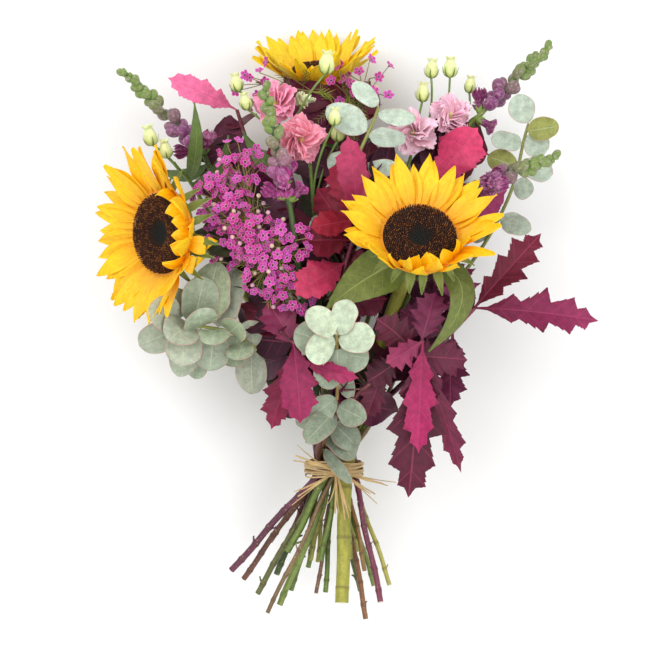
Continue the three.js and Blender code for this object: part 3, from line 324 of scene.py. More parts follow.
class Arc:
    """A curve from a to b that bends towards m."""

    def __init__(self, a, m, b):
        self.a, self.m, self.b = (np.asarray(p, float) for p in (a, m, b))

    def at(self, u):
        u = np.asarray(u, float)[..., None]
        return (1 - u) ** 2 * self.a + 2 * u * (1 - u) * self.m + u * u * self.b

    def slope(self, u):
        u = np.asarray(u, float)[..., None]
        return unit((1 - u) * (self.m - self.a) + u * (self.b - self.m))

    def steps(self, n):
        return self.at(np.linspace(0, 1, n))


def curl(base, forward, up, length, turn):
    middle = base + forward * length / 2
    return Arc(base, middle, middle + forward * cos(turn) * length / 2 + up * sin(turn) * length / 2)


# ---- where things are ----


def pack_waist():
    """Where each stem passes the tie, as in the part's source."""
    slots = []
    for stem in STEMS.values():
        if "pin" in stem:
            slots.append(list(map(float, stem["pin"])))
            continue
        x, y, z = stem["via"][0] if stem["via"] else stem["head"]
        a, b = -z / y / SPIRAL, x / y / SPIRAL
        shrink = min(1, WAIST / hypot(a, b))
        slots.append([a * shrink, b * shrink])
    radii = [stem["radius"] for stem in STEMS.values()]
    loose = [0 if "pin" in stem else 1 for stem in STEMS.values()]
    for _ in range(ROUNDS):
        for i, here in enumerate(slots):
            if loose[i]:
                here[0] *= PULL
                here[1] *= PULL
            for j in range(i):
                there = slots[j]
                dx, dy = here[0] - there[0], here[1] - there[1]
                long = hypot(dx, dy)
                short = (radii[i] + radii[j]) * SLACK + STEM_GAP - long
                if short > 0:
                    step = short / (loose[i] + loose[j]) / long
                    here[0] += dx * step * loose[i]
                    here[1] += dy * step * loose[i]
                    there[0] -= dx * step * loose[j]
                    there[1] -= dy * step * loose[j]
    for stem, slot in zip(STEMS.values(), slots):
        stem["slot"] = slot


pack_waist()
BUNDLE = max(hypot(*stem["slot"]) + stem["radius"] for stem in STEMS.values())


def on_stem(name, share):
    """Place and direction on the way from the tie, at 0, to the head, at 1."""
    stem = STEMS[name]
    slot = stem["slot"]
    points = [vec(slot[0], 0, slot[1]), *(vec(*p) for p in stem["via"]), vec(*stem["head"])]
    last = len(points) - 1
    start = unit(vec(SPIRAL * slot[1], 1, -SPIRAL * slot[0])) * np.linalg.norm(points[1] - points[0])
    stop = points[last] - points[last - 1]
    if "end" in stem:
        stop = unit(vec(*stem["end"])) * np.linalg.norm(stop) * 0.8
    tangents = [start, *((points[i + 1] - points[i - 1]) * 0.5 for i in range(1, last)), stop]
    k = min(int(share * last), last - 1)
    t = share * last - k
    ends = np.array([points[k], tangents[k], points[k + 1], tangents[k + 1]])
    place = vec(2 * t**3 - 3 * t**2 + 1, t**3 - 2 * t**2 + t, 3 * t**2 - 2 * t**3, t**3 - t**2) @ ends
    direction = unit(vec(6 * t**2 - 6 * t, 3 * t**2 - 4 * t + 1, 6 * t - 6 * t**2, 3 * t**2 - 2 * t) @ ends)
    above = min(max(place[1] / BOW_END, 0), 1)
    bow = stem.get("bow", (0, 0))
    place[0] += 4 * above * (1 - above) * bow[0]
    place[2] += 4 * above * (1 - above) * bow[1]
    return place, direction


def foot_of(name):
    stem = STEMS[name]
    slot, foot = stem["slot"], stem["foot"]
    if "toe" in stem:
        return vec(stem["toe"][0], -foot, stem["toe"][1])
    x = slot[0] * (1 + FAN * foot) - (SPIRAL * slot[1] + DRIFT) * foot
    z = slot[1] + SPIRAL * foot * slot[0]
    return vec(x, -foot, max(z, SURFACE + stem["radius"]))


def nudged(tip, k, grain, n):
    """The part's other places for a leaf, further and further from the first one."""
    if k == 0:
        return vec(*tip)
    far = 3 + 1.4 * k
    aside = vec(spread(far, grain, n, k, 1), spread(far, grain, n, k, 2), 0)
    return vec(*tip) + UP * (far if k % 2 else -far) + aside


surfaces = {}


def gap(node, point):
    """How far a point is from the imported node's surface."""
    if node not in surfaces:
        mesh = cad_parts[node].data
        corners = [Vector(v.co * METRE - Vector(TIE_AT)) for v in mesh.vertices]
        surfaces[node] = BVHTree.FromPolygons(corners, [p.vertices[:] for p in mesh.polygons])
    return surfaces[node].find_nearest(Vector(point))[3]


def chosen(node, tries, make, probes):
    """The first of the part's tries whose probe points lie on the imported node, or None if it left the piece out."""
    for k in range(tries):
        piece = make(k)
        gaps = sorted(gap(node, p) for p in probes(piece))
        if gaps[len(gaps) // 2] < TOUCH:
            return piece
    return None


# ---- shapes ----


def swell(x, start, peak, end, power=2.0):
    """Share of the full width along a leaf or petal, which is widest at peak."""
    x = np.clip(x, 0, 1)
    rising = start + (1 - start) * np.sin(np.minimum(x / peak, 1) * pi / 2)
    falling = end + (1 - end) * (1 - (np.maximum(x - peak, 0) / (1 - peak)) ** power)
    return np.where(x < peak, rising, falling)


def eased(n):
    return (1 - np.cos(np.linspace(0, pi, n))) / 2


class Blade:
    """The place of a leaf or petal: x along it from 0 to 1, y across it and lift off its face, in mm."""

    def __init__(self, way, up, width, cup=0.0, roll=0.0):
        self.way, self.up, self.width, self.cup, self.roll = way, np.asarray(up, float), width, cup, roll

    def at(self, x, y, lift):
        f = self.way.slope(x)
        side = unit(np.cross(f, np.broadcast_to(self.up, f.shape)))
        face = np.cross(side, f)
        if self.roll:
            c, s = cos(self.roll), sin(self.roll)
            side, face = side * c + face * s, face * c - side * s
        return self.way.at(x) + side * np.asarray(y)[..., None] + face * np.asarray(lift)[..., None]

    def edge(self, x, wide, side, shift=0.0):
        """A corner of the part's own plain blade."""
        half = wide * self.width / 2
        return self.at(x, side * half, self.cup * half) + self.way.slope(x) * shift * self.width


NO_TRIS, NO_TRI_UV = np.empty((0, 3), int), np.empty((0, 3, 2))


class Shape:
    """Closed pieces, in batches: points, their tints, quads and their corners' surface places, triangles and theirs."""

    def __init__(self):
        self.batches, self.count = [], 0

    def add(self, points, tint, quads, quad_uv, tris=NO_TRIS, tri_uv=NO_TRI_UV):
        points = points.reshape(-1, 3)
        tints = np.broadcast_to(tint, points.shape)
        self.batches.append((points, tints, quads + self.count, quad_uv, tris + self.count, tri_uv))
        self.count += len(points)

    def whole(self):
        return tuple(np.concatenate(part) for part in zip(*self.batches))

    def stamp(self, whole, place, axis, spin=0.0, size=1.0, tint=1.0):
        """A copy of a whole shape, whose own Z turns to the axis."""
        points, tints, *faces = whole
        s, t = across(axis)
        s, t = s * cos(spin) + t * sin(spin), t * cos(spin) - s * sin(spin)
        self.add(points * size @ np.stack([s, t, axis]) + place, tints * tint, *faces)

    def sheet(self, grid, thick, uv, tint, resting=True):
        """A thin closed sheet round a grid of points. One that rests stays above the surface."""
        n, m = grid.shape[:2]
        thick = np.broadcast_to(thick, (n, m))
        if resting:
            grid = grid.copy()
            grid[..., 2] = np.maximum(grid[..., 2], SURFACE + thick / 2 + 0.05)
        off = unit(np.cross(np.gradient(grid, axis=0), np.gradient(grid, axis=1))) * thick[..., None] / 2
        a = np.arange(n * m).reshape(n, m)
        b = a + n * m
        sides = [
            (a[:-1, :-1], a[1:, :-1], a[1:, 1:], a[:-1, 1:]), (b[:-1, :-1], b[:-1, 1:], b[1:, 1:], b[1:, :-1]),
            (a[:-1, 0], b[:-1, 0], b[1:, 0], a[1:, 0]), (a[1:, -1], b[1:, -1], b[:-1, -1], a[:-1, -1]),
            (a[0, 1:], b[0, 1:], b[0, :-1], a[0, :-1]), (a[-1, :-1], b[-1, :-1], b[-1, 1:], a[-1, 1:]),
        ]
        quads = np.concatenate([np.stack([corner.ravel() for corner in side], axis=1) for side in sides])
        tint = np.broadcast_to(tint, grid.shape)
        self.add(np.stack([grid + off, grid - off]), np.stack([tint, tint]).reshape(-1, 3), quads,
                 np.concatenate([uv.reshape(-1, 2)] * 2)[quads])

    def web(self, blade, x, v, y, lift, thick, tint, along=None, shift=0.0, stretch=1.0, resting=True):
        """A sheet over a blade, with rows at x along it and columns at v, from -1 to 1, across it."""
        rows = x[:, None] + 0 * v
        grid = blade.at(rows if along is None else along, y, lift)
        self.sheet(grid, thick, np.stack([0.5 + 0.5 * v + 0 * rows + shift, stretch * rows], axis=-1), tint, resting)
        return grid

    def hoop(self, sections, middles, tint, uv):
        """A closed loop through four-cornered sections round their middles."""
        index = np.arange(4 * len(sections)).reshape(-1, 4)
        ahead = np.roll(index, -1, axis=0)
        quads = [index, np.roll(index, -1, axis=1), np.roll(ahead, -1, axis=1), ahead]
        quads = np.stack(quads, axis=-1).reshape(-1, 4)
        corner = sections.reshape(-1, 3)[quads]
        face = np.cross(corner[:, 1] - corner[:, 0], corner[:, 3] - corner[:, 0])
        inward = ((corner.mean(1) - np.repeat(middles, 4, axis=0)) * face).sum() < 0
        self.add(sections, tint, quads[:, ::-1] if inward else quads, uv)

    def loft(self, sections, tint, v):
        """A closed body through rings of points, with flat or pointed ends."""
        n, m = sections.shape[:2]
        index = np.arange(n * m).reshape(n, m)
        turn = np.roll(index, -1, axis=1)
        quads = np.stack([index[:-1], turn[:-1], turn[1:], index[1:]], axis=-1).reshape(-1, 4)
        u = np.arange(m + 1) / m
        corners = [(u[:-1], v[:-1]), (u[1:], v[:-1]), (u[1:], v[1:]), (u[:-1], v[1:])]
        quad_uv = np.stack([np.stack(np.meshgrid(*c), axis=-1) for c in corners], axis=2).reshape(-1, 4, 2)
        tris = np.concatenate([
            np.stack([np.full(m, n * m), turn[0], index[0]], axis=1),
            np.stack([np.full(m, n * m + 1), index[-1], turn[-1]], axis=1),
        ])
        tri_uv = np.concatenate([
            np.stack([np.stack([u[:-1], np.full(m, end)], -1)] * 3, axis=1) for end in (v[0], v[-1])
        ])
        points = np.concatenate([sections.reshape(-1, 3), sections[0].mean(0)[None], sections[-1].mean(0)[None]])
        tint = np.broadcast_to(np.asarray(tint)[:, None] if np.ndim(tint) == 2 else tint, (n, m, 3)).reshape(-1, 3)
        a, b, c = np.moveaxis(points[np.concatenate([quads[:, [0, 1, 2]], quads[:, [0, 2, 3]], tris])], 1, 0)
        way = -1 if (a * np.cross(b, c)).sum() < 0 else 1
        self.add(points, np.concatenate([tint, tint[:1], tint[-1:]]), quads[:, ::way], quad_uv[:, ::way],
                 tris[:, ::way], tri_uv[:, ::way])

    def tube(self, points, radii, sides, tint, relief=1.0, flat=1.0):
        """A round bar along points. flat squeezes it across."""
        points = np.asarray(points, float)
        n = len(points)
        slope = unit(np.gradient(points, axis=0))
        s = across(slope[0])[0]
        turn = turns(sides)
        rings = np.empty((n, sides, 3))
        radii = np.broadcast_to(np.maximum(radii, 0.03), (n,))[:, None] * np.broadcast_to(relief, (n, sides))
        for i in range(n):
            s = unit(s - slope[i] * np.dot(s, slope[i]))
            t = np.cross(slope[i], s)
            rings[i] = points[i] + radii[i][:, None] * (np.cos(turn)[:, None] * s + flat * np.sin(turn)[:, None] * t)
        steps = np.linalg.norm(np.diff(points, axis=0), axis=1)
        self.loft(rings, tint, np.concatenate([[0], np.cumsum(steps)]) / 10)

    def turned(self, centre, axis, profile, sides, tint, relief=1.0):
        """A body turned round an axis, through [radius, height] points."""
        s, t = across(axis)
        profile = np.asarray(profile, float)
        radii = (np.maximum(profile[:, :1], 0.03) * np.broadcast_to(relief, (len(profile), sides)))[..., None]
        turn = turns(sides)[:, None]
        rings = centre + radii * np.cos(turn) * s + radii * np.sin(turn) * t + profile[:, 1, None, None] * axis
        self.loft(rings, tint, np.linspace(0, 1, len(profile)))

    def hairs(self, roots, directions, lengths, tint):
        """Many hairs at once, each of four points."""
        directions = unit(directions)
        n = len(roots)
        s = unit(np.cross(directions, np.where(np.abs(directions[:, 2:3]) < 0.9, UP, vec(1, 0, 0))))
        t = np.cross(directions, s)
        corners = [roots + HAIR * (cos(a) * s + sin(a) * t) for a in (0, 2.094, 4.189)]
        points = np.stack([*corners, roots + directions * np.broadcast_to(lengths, (n,))[:, None]], axis=1)
        base = 4 * np.arange(n)[:, None]
        tris = np.concatenate([base + [corner] for corner in ([0, 1, 3], [1, 2, 3], [2, 0, 3], [2, 1, 0])])
        self.add(points, tint, np.empty((0, 4), int), np.empty((0, 4, 2)), tris, np.full((len(tris), 3, 2), 0.5))

    def dress(self, name, material, slot, node):
        """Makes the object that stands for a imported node."""
        points, tint, quads, quad_uv, tris, tri_uv = self.whole()
        points = (points + TIE_AT) / METRE
        points[:, 2] = np.maximum(points[:, 2], 2e-5)
        loops = np.concatenate([quads.ravel(), tris.ravel()])
        mesh = bpy.data.meshes.new(name)
        mesh.vertices.add(len(points))
        mesh.vertices.foreach_set("co", points.ravel())
        mesh.loops.add(len(loops))
        mesh.loops.foreach_set("vertex_index", loops)
        mesh.polygons.add(len(quads) + len(tris))
        starts = np.concatenate([4 * np.arange(len(quads)), 4 * len(quads) + 3 * np.arange(len(tris))])
        mesh.polygons.foreach_set("loop_start", starts)
        mesh.update(calc_edges=True)
        uv = np.concatenate([quad_uv.ravel(), tri_uv.ravel()])
        mesh.uv_layers.new(name="UVMap").data.foreach_set("uv", uv)
        tint = np.concatenate([np.clip(tint, 0, 1), np.ones((len(tint), 1))], axis=1)
        mesh.attributes.new("tint", "FLOAT_COLOR", "POINT").data.foreach_set("color", tint.ravel())
        mesh.shade_smooth()
        mesh.set_sharp_from_angle(angle=radians(55))
        mesh.materials.append(material)
        piece = bpy.data.objects.new(name, mesh)
        bpy.context.scene.collection.objects.link(piece)
        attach(piece, "root")
        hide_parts(node)


shapes = {}


def grow(node, kind):
    return shapes.setdefault((node, kind), Shape())


# ---- stems ----

# How far apart the nodes of a stem are.
NODE_PITCH = {"oak": 21, "eucalyptus": 26, "sunflower": 47, "snapdragon": 30, "lisianthus": 36, "waxflower": 24}
HAIR, STEM_HAIRS = 0.09, 900  # a hair's radius, and how many a sunflower stem has
STUBS_OFF, STUBS_TO = 14, 40  # no stubs this near to the tie, or higher up


def kind_of(name):
    return name.split("_")[0]


def stem_tint(name):
    if name in FOOT_TINTS:
        return rgb(*FOOT_TINTS[name])
    tints = STEM_TINTS[kind_of(name)]
    return rgb(*tints[list(STEMS).index(name) % len(tints)])


def grow_stem(name):
    kind, seed, radius = kind_of(name), list(STEMS).index(name), STEMS[name]["radius"]
    thick = kind == "sunflower"
    rng = np.random.RandomState(100 + seed)
    foot, tie = foot_of(name), on_stem(name, 0)[0]
    low, high = np.linspace(0, 1, 72)[:-1], np.linspace(0, 1, 44)
    points = np.concatenate([foot + (tie - foot) * low[:, None], [on_stem(name, share)[0] for share in high]])
    radii = radius * np.concatenate([np.ones(len(low)), 1 - (0 if thick else 0.3) * high])
    along = np.concatenate([[0], np.cumsum(np.linalg.norm(np.diff(points, axis=0), axis=1))])
    end = along[-1]
    tint = np.tile(stem_tint(name), (len(points), 1))
    if kind in ("oak", "eucalyptus", "waxflower"):
        upper = rgb(120, 40, 70) if kind == "oak" else rgb(128, 140, 72)
        tint = mixed(tint, upper, np.clip((along - 150) / 200, 0, 0.8)[:, None])
    tint = tint * (1 + 0.1 * np.sin(along / 17 + seed))[:, None]
    # Below the tie the stems aren't quite straight.
    s, t = across(unit(tie - foot))
    sway = (0.5 if thick else 1.3) * np.sin(pi * low)[:, None]
    points[: len(low)] += sway * (np.sin(7 * low + seed)[:, None] * s + np.sin(5 * low + 2 * seed)[:, None] * t)
    # Nodes: a slight swelling every few centimetres, with the stub of a leaf that was stripped.
    stems, swelling, scars = grow(name, "stem"), np.zeros(len(points)), np.zeros(len(points))
    for j, place in enumerate(np.arange(10 + 7 * rng.rand(), min(end * 0.5, 200), NODE_PITCH[kind])):
        swelling += (0.05 if thick else 0.22) * np.exp(-(((along - place) / 1.8) ** 2))
        scars += (0.3 if kind == "snapdragon" else 0.6) * np.exp(-(((along - place) / 1.3) ** 2))
        if thick:
            continue
        i = int(np.argmin(np.abs(along - place)))
        ahead = unit(points[i + 1] - points[i - 1])
        out = around(*across(ahead), GOLDEN * j + seed)
        at = np.array([np.interp(place, along, points[:, c]) for c in range(3)])
        length = radius * (1.4 if kind == "lisianthus" else 1.5 + 1.2 * rng.rand())
        if STUBS_OFF < abs(at[1]) and at[1] < STUBS_TO:
            stub = [at, at + out * length * 0.6 + ahead * length * 0.3, at + out * length + ahead * length * 0.8]
            stems.tube(stub, [radius * 0.5, radius * 0.34, radius * 0.26], 6, tint[i] * 0.8)
    turn = turns(24 if thick else 12)
    relief = 1 + 0.03 * np.cos(turn * (9 if thick else 4)) + swelling[:, None]
    tint = mixed(tint, rgb(70, 44, 30), np.clip(scars, 0, 1)[:, None])
    # The cut end is a paler ring and pith on a flat face.
    pith = mixed(stem_tint(name), rgb(226, 222, 180), 0.75)
    below = foot - unit(points[1] - foot) * 0.05
    stems.tube(
        np.concatenate([below[None], points]), np.concatenate([[radius * 0.8], radii]), len(turn),
        np.concatenate([pith[None], tint]), np.concatenate([relief[:1], relief]),
    )
    if thick:
        pick = rng.rand(STEM_HAIRS) * end
        both = (points, np.gradient(points, axis=0))
        at, ahead = (np.stack([np.interp(pick, along, row) for row in rows.T], axis=1) for rows in both)
        side = unit(np.cross(unit(ahead), rng.normal(size=at.shape)))
        at = at + side * radius * 0.98
        keep = at[:, 2] > SURFACE + 2
        way = (side + 0.4 * unit(ahead))[keep]
        grow(name, "hair").hairs(at[keep], way, 0.8 + rng.rand(keep.sum()), rgb(214, 220, 170))


# ---- leaves ----


def leaf_tries(name, share, tip, width, grain, n, cup, bend=0.12, middle=None):
    """The part's tries for a leaf, as blades."""
    base = on_stem(name, share)[0]
    tilt = vec(spread(0.35, grain, n, 5), spread(0.35, grain, n, 6), 0)
    facing = unit(UP * (-1 if base[2] < -30 else 1) + tilt)
    cup += spread(0.1, grain, n, 7)

    def make(k):
        end = nudged(tip, k, grain, n)
        if middle is None:
            mid = (base + end) / 2 + facing * bend * np.linalg.norm(end - base)
        else:
            mid = nudged(middle, k, grain, n)
        return Blade(Arc(base, mid, end), facing, width, cup)

    return make


def eucalyptus_leaf(shape, blade, tint, seed):
    rng = np.random.RandomState(3000 + seed)
    x, v = eased(30), np.linspace(-1, 1, 19)
    stalk = 0.055
    inside = np.clip((x - stalk) / (1 - stalk), 0, 1)
    half = (1 - np.abs(2 * inside - 1) ** 2.3) ** 0.52
    half = np.maximum(half * (1 + 0.05 * np.sin(7 * x + seed)), 0.035) * blade.width / 2
    uneven = 0.02 * rng.normal(size=3)
    half = half * (1 + uneven[0] * np.sin(9 * x) + uneven[1] * np.sin(17 * x + 1))
    y = half[:, None] * v
    wave = np.sin(2.6 * pi * x + rng.rand() * 6)[:, None] * np.abs(v) ** 2.2 * np.sign(v + 0.4)
    lift = blade.cup * y**2 / (blade.width / 2) + 0.9 * wave - 0.35 * np.exp(-((y / 1.1) ** 2))
    shape.web(blade, x, v, y, lift, 0.55 + 0.5 * np.exp(-((y / 0.9) ** 2)), tint)


def pointed_leaf(shape, blade, tint, seed, teeth, coarse=False):
    x, v = eased(26 if coarse else 40), np.linspace(-1, 1, 9 if coarse else 17)
    half = np.maximum(swell(x, 0.13, 0.4, 0, 1.9), 0.03)
    y = (half * (1 + teeth * (((x * 13) % 1) - 0.5)) * blade.width / 2)[:, None] * v
    side = np.abs(v)
    lift = blade.cup * y**2 / (blade.width / 2)
    lift = lift + 0.045 * blade.width * np.sin(3 * pi * x + seed)[:, None] * side**2 * np.sign(v + 0.3)
    lift = lift + 0.7 * np.cos(20 * pi * (x[:, None] - 0.16 * side)) * side * (1 - side)
    lift = lift - 0.5 * np.exp(-((y / 1.2) ** 2))
    shape.web(blade, x, v, y, lift, 0.5 + 0.7 * np.exp(-(y**2)), tint)


# Lobes of an oak leaf: where each begins and ends on the midrib, its tip, how wide it is and the notch after it.
OAK_LOBES = [
    (0.1, 0.36, 0.31, 0.72, 0.62), (0.36, 0.6, 0.555, 1, 0.8), (0.6, 0.82, 0.775, 0.86, 0.58),
    (0.82, 0.93, 0.9, 0.5, 0.3),
]
# How full the notches of a stem's leaves are.
OAK_NOTCHES = {"oak_right": 0.7, "oak_front": 0.8, "oak_high": 1.25, "oak_centre": 1.1}
# Steps along the lower and the upper edge of a lobe, close together at the tip of a tooth.
LOWER = np.array([0, 0.12, 0.24, 0.33, 0.345, 0.45, 0.56, 0.66, 0.675, 0.78, 0.88, 0.95, 1])
UPPER = np.array([0.06, 0.16, 0.28, 0.38, 0.5, 0.68, 0.86, 1])
LOWER_SHARE = 0.62  # of a lobe's part of the midrib


def oak_edge(seed, side, notches):
    """Rows of [place on the midrib, place of the edge along the leaf, and across it]."""
    rows = [(x, x, 0.05 + 0.9 * max(x - 0.04, 0)) for x in (0.0, 0.03, 0.06)]
    last = 0.09
    for j, (start, stop, tip, high, notch) in enumerate(OAK_LOBES):
        high = high * (1 + spread(0.1, 71, seed, side, j))
        tip = tip + spread(0.015, 72, seed, side, j)
        notch = min(notch * notches * (1 + spread(0.14, 73, seed, side, j)), 0.93 * high)
        tooth = 0.06 + 0.12 * draw(74, seed, side, j)
        for t in LOWER:
            saw = tooth * ((3 * t) % 1) * (0.5 + 0.5 * t) if t < 0.99 else 0.08
            y = last + (high - last) * t**1.15 + saw * high
            rows.append((start + (stop - start) * LOWER_SHARE * t, start + (tip - start) * t, y))
        for t in UPPER:
            y = high + (notch - high) * t**0.62 + 0.8 * tooth * (1 - t) * ((2.6 * t) % 1)
            inner = LOWER_SHARE + (1 - LOWER_SHARE) * t
            rows.append((start + (stop - start) * inner, tip + (stop - tip) * t**0.7, y))
        last = notch
    rows += [(0.95, 0.955, 0.13), (0.975, 0.978, 0.07), (1.0, 1.0, 0.012)]
    return np.array(rows)


def oak_leaf(shape, blade, tint, seed, notches):
    left, right = oak_edge(seed, 0, notches), oak_edge(seed, 1, notches)
    v = np.linspace(-1, 1, 17)
    a = np.abs(v)[None, :, None]
    edge = np.where(v[None, :, None] < 0, left[:, None, 1:], right[:, None, 1:])
    root = np.stack([(left[:, 0] + right[:, 0]) / 2, 0 * left[:, 0]], axis=1)[:, None]
    place = root * (1 - a) + edge * a
    x = np.clip(place[..., 0], 0, 1.01)
    share = place[..., 1] * np.sign(v)
    y, size = share * blade.width / 2, np.abs(share)
    lift = blade.cup * blade.width / 2 * size**2
    lift = lift + 0.1 * blade.width * np.sin(2.4 * pi * x + seed + (v > 0)) * size
    lift = lift + 0.8 * np.cos(2 * pi * (x - 0.17 * size - 0.19) / 0.205) * np.minimum(size, 0.6)
    lift = lift - 0.7 * np.exp(-((y / 1.3) ** 2))
    thick = 0.45 + 0.8 * np.exp(-((y / 0.9) ** 2))
    uv = np.stack([0.5 + 0.5 * share, x], axis=-1)
    shape.sheet(blade.at(x, y, lift), thick, uv, tint * (0.8 + 0.5 * x)[..., None])


def leaf_tint(name, i, n):
    jitter = 1 + spread(0.09, 81, n)
    if name in OAK_TINTS:
        return rgb(*OAK_TINTS[name][i]) * jitter * 0.8
    if name == "eucalyptus_front":
        return (MINT if i < 4 else SAGE * 0.84 if i < 9 else SAGE * 0.74) * jitter
    if name == "eucalyptus_middle":
        return PALE_MINT * jitter
    if name == "eucalyptus_right":
        return (OLIVE if i in (1, 5) else mixed(SAGE, PALE_MINT, 0.7)) * jitter
    blush = rgb(192, 188, 172) if draw(73, n) < 0.5 else rgb(146, 158, 100)
    return mixed(SAGE, blush, 0.5 * draw(75, n)) * jitter * (0.8 if i > 7 else 1)


# Leaves that hide the stem of the eucalyptus on the left: [share of the way, tip, width].
OVER_STEM = [
    [0.97, [-168, 152, 80], 32], [0.9, [-150, 122, 84], 34], [0.84, [-124, 150, 82], 32],
    [0.74, [-112, 118, 74], 30], [0.66, [-86, 138, 72], 28], [0.56, [-88, 104, 64], 26],
]


def grow_leaves():
    for n, (share, tip, width) in enumerate(OVER_STEM):
        blade = leaf_tries("eucalyptus_low", share, tip, width, 85, n, 0.14, bend=0.3)(0)
        eucalyptus_leaf(grow("eucalyptus_low", "eucalyptus"), blade, leaf_tint("eucalyptus_low", n, n + 40), n + 60)
    # The probes are where the part's own plain leaves are widest: [along, share of the width, shift].
    for leaves, kind, grain, cup, widest in (
        (EUCALYPTUS_LEAVES, "eucalyptus", 80, 0.12, [(0.3, 0.82, 0), (0.74, 0.94, 0)]),
        (OAK_LEAVES, "oak", 90, 0.18, [(0.26, 0.66, 0.1), (0.5, 1, 0.1)]),
    ):
        rows = [(name, i, row) for name in leaves for i, row in enumerate(leaves[name])]
        for n, (name, i, (share, tip, width)) in enumerate(rows):
            blade = chosen(
                name, 32, leaf_tries(name, share, tip, width, grain, n, cup),
                lambda b: [b.way.b, *(b.edge(x, w, side, shift) for x, w, shift in widest for side in (-1, 1))],
            )
            if blade and kind == "oak":
                oak_leaf(grow(name, "oak"), blade, leaf_tint(name, i, n), n, OAK_NOTCHES.get(name, 1))
            elif blade:
                eucalyptus_leaf(grow(name, "eucalyptus"), blade, leaf_tint(name, i, n), n)
    for n, (name, share, middle, tip, width) in enumerate(GREEN_LEAVES):
        make = leaf_tries(name, share, tip, width, 70, n, 0.15, middle=middle)
        blade = chosen(name, 32, make, lambda b: [b.way.b, b.edge(0.4, 1, -1), b.edge(0.4, 1, 1)])
        if blade:
            tint = rgb(102, 114, 46) if n < 2 else rgb(84, 108, 52)
            pointed_leaf(grow(name, "leaf"), blade, tint * (1 + spread(0.1, 82, n)), n, 0.05)


# Regions of small leaves that fill the inside: [spray, middle, reach to each side, leaves].
FILLERS = [
    ["oak_left", [-40, 120, 30], [46, 40, 14], 16], ["oak_centre", [-20, 190, 30], [52, 46, 14], 20],
    ["oak_centre", [20, 260, 28], [46, 46, 14], 18], ["oak_high", [72, 220, 0], [48, 60, 16], 18],
    ["oak_high", [104, 300, 0], [30, 32, 10], 9], ["oak_front", [40, 90, 34], [36, 36, 14], 14],
    ["oak_right", [84, 140, 22], [40, 40, 14], 14], ["oak_top_left", [-84, 280, -16], [40, 56, 14], 16],
    ["oak_centre", [-12, 262, 14], [30, 34, 12], 10], ["waxflower", [-80, 220, 30], [40, 56, 20], 18],
    ["waxflower_high", [-4, 330, -14], [44, 36, 12], 12],
]
# Dark burgundy and olive leaf colours, made darker still as painted shade for the shadowed gaps deep in the bunch.
FILLER_TINTS_WITH_PAINTED_SHADE = [
    (66, 16, 40), (82, 20, 48), (52, 14, 34), (104, 26, 64), (54, 62, 34), (68, 22, 46), (90, 18, 40),
]
FILLER_LONG = 62


def fill_foliage():
    """Dark leaves low in the bunch, each from its own spray, that close the gaps between the plants. Their tints are
    dark leaf colours made darker still as painted shade for the deep gaps.
    """
    for n, (name, middle, reach, count) in enumerate(FILLERS):
        way = np.array([on_stem(name, share)[0] for share in np.linspace(0.35, 0.98, 24)])
        for k in range(count):
            tip = vec(*middle) + vec(*(spread(reach[c], 64, n, k, c) for c in range(3)))
            root = way[int(np.argmin(np.linalg.norm(way - tip, axis=1) + 20 * draw(65, n, k)))]
            aside = unit(tip - root + vec(spread(20, 66, n, k), spread(20, 67, n, k), 0))
            tip = tip + aside * 12
            facing = unit(UP + vec(spread(0.5, 68, n, k), spread(0.5, 69, n, k), 0))
            if np.linalg.norm(tip - root) >= FILLER_LONG:
                near, root = root, tip - aside * FILLER_LONG
                grow(name, "stem").tube(Arc(near, (near + root) / 2, root).steps(5), 0.9, 5, rgb(90, 40, 50))
            blade = Blade(Arc(root, (root + tip) / 2 + facing * 5, tip), facing, 30 + 10 * draw(70, n, k), 0.2)
            # Painted shade: the filler leaf's tint is darkened to stand for the shadow in the gaps between the plants.
            tint = rgb(*FILLER_TINTS_WITH_PAINTED_SHADE[int(7 * draw(71, n, k))]) * (1 + spread(0.15, 72, n, k))
            pointed_leaf(grow(name, "oak"), blade, tint, 300 + 20 * n + k, 0.08, coarse=True)


# ---- sunflowers ----


def head_of(name):
    axis = unit(vec(*STEMS[name]["end"]))
    return axis, *across(axis), vec(*STEMS[name]["head"]) + axis * NECK


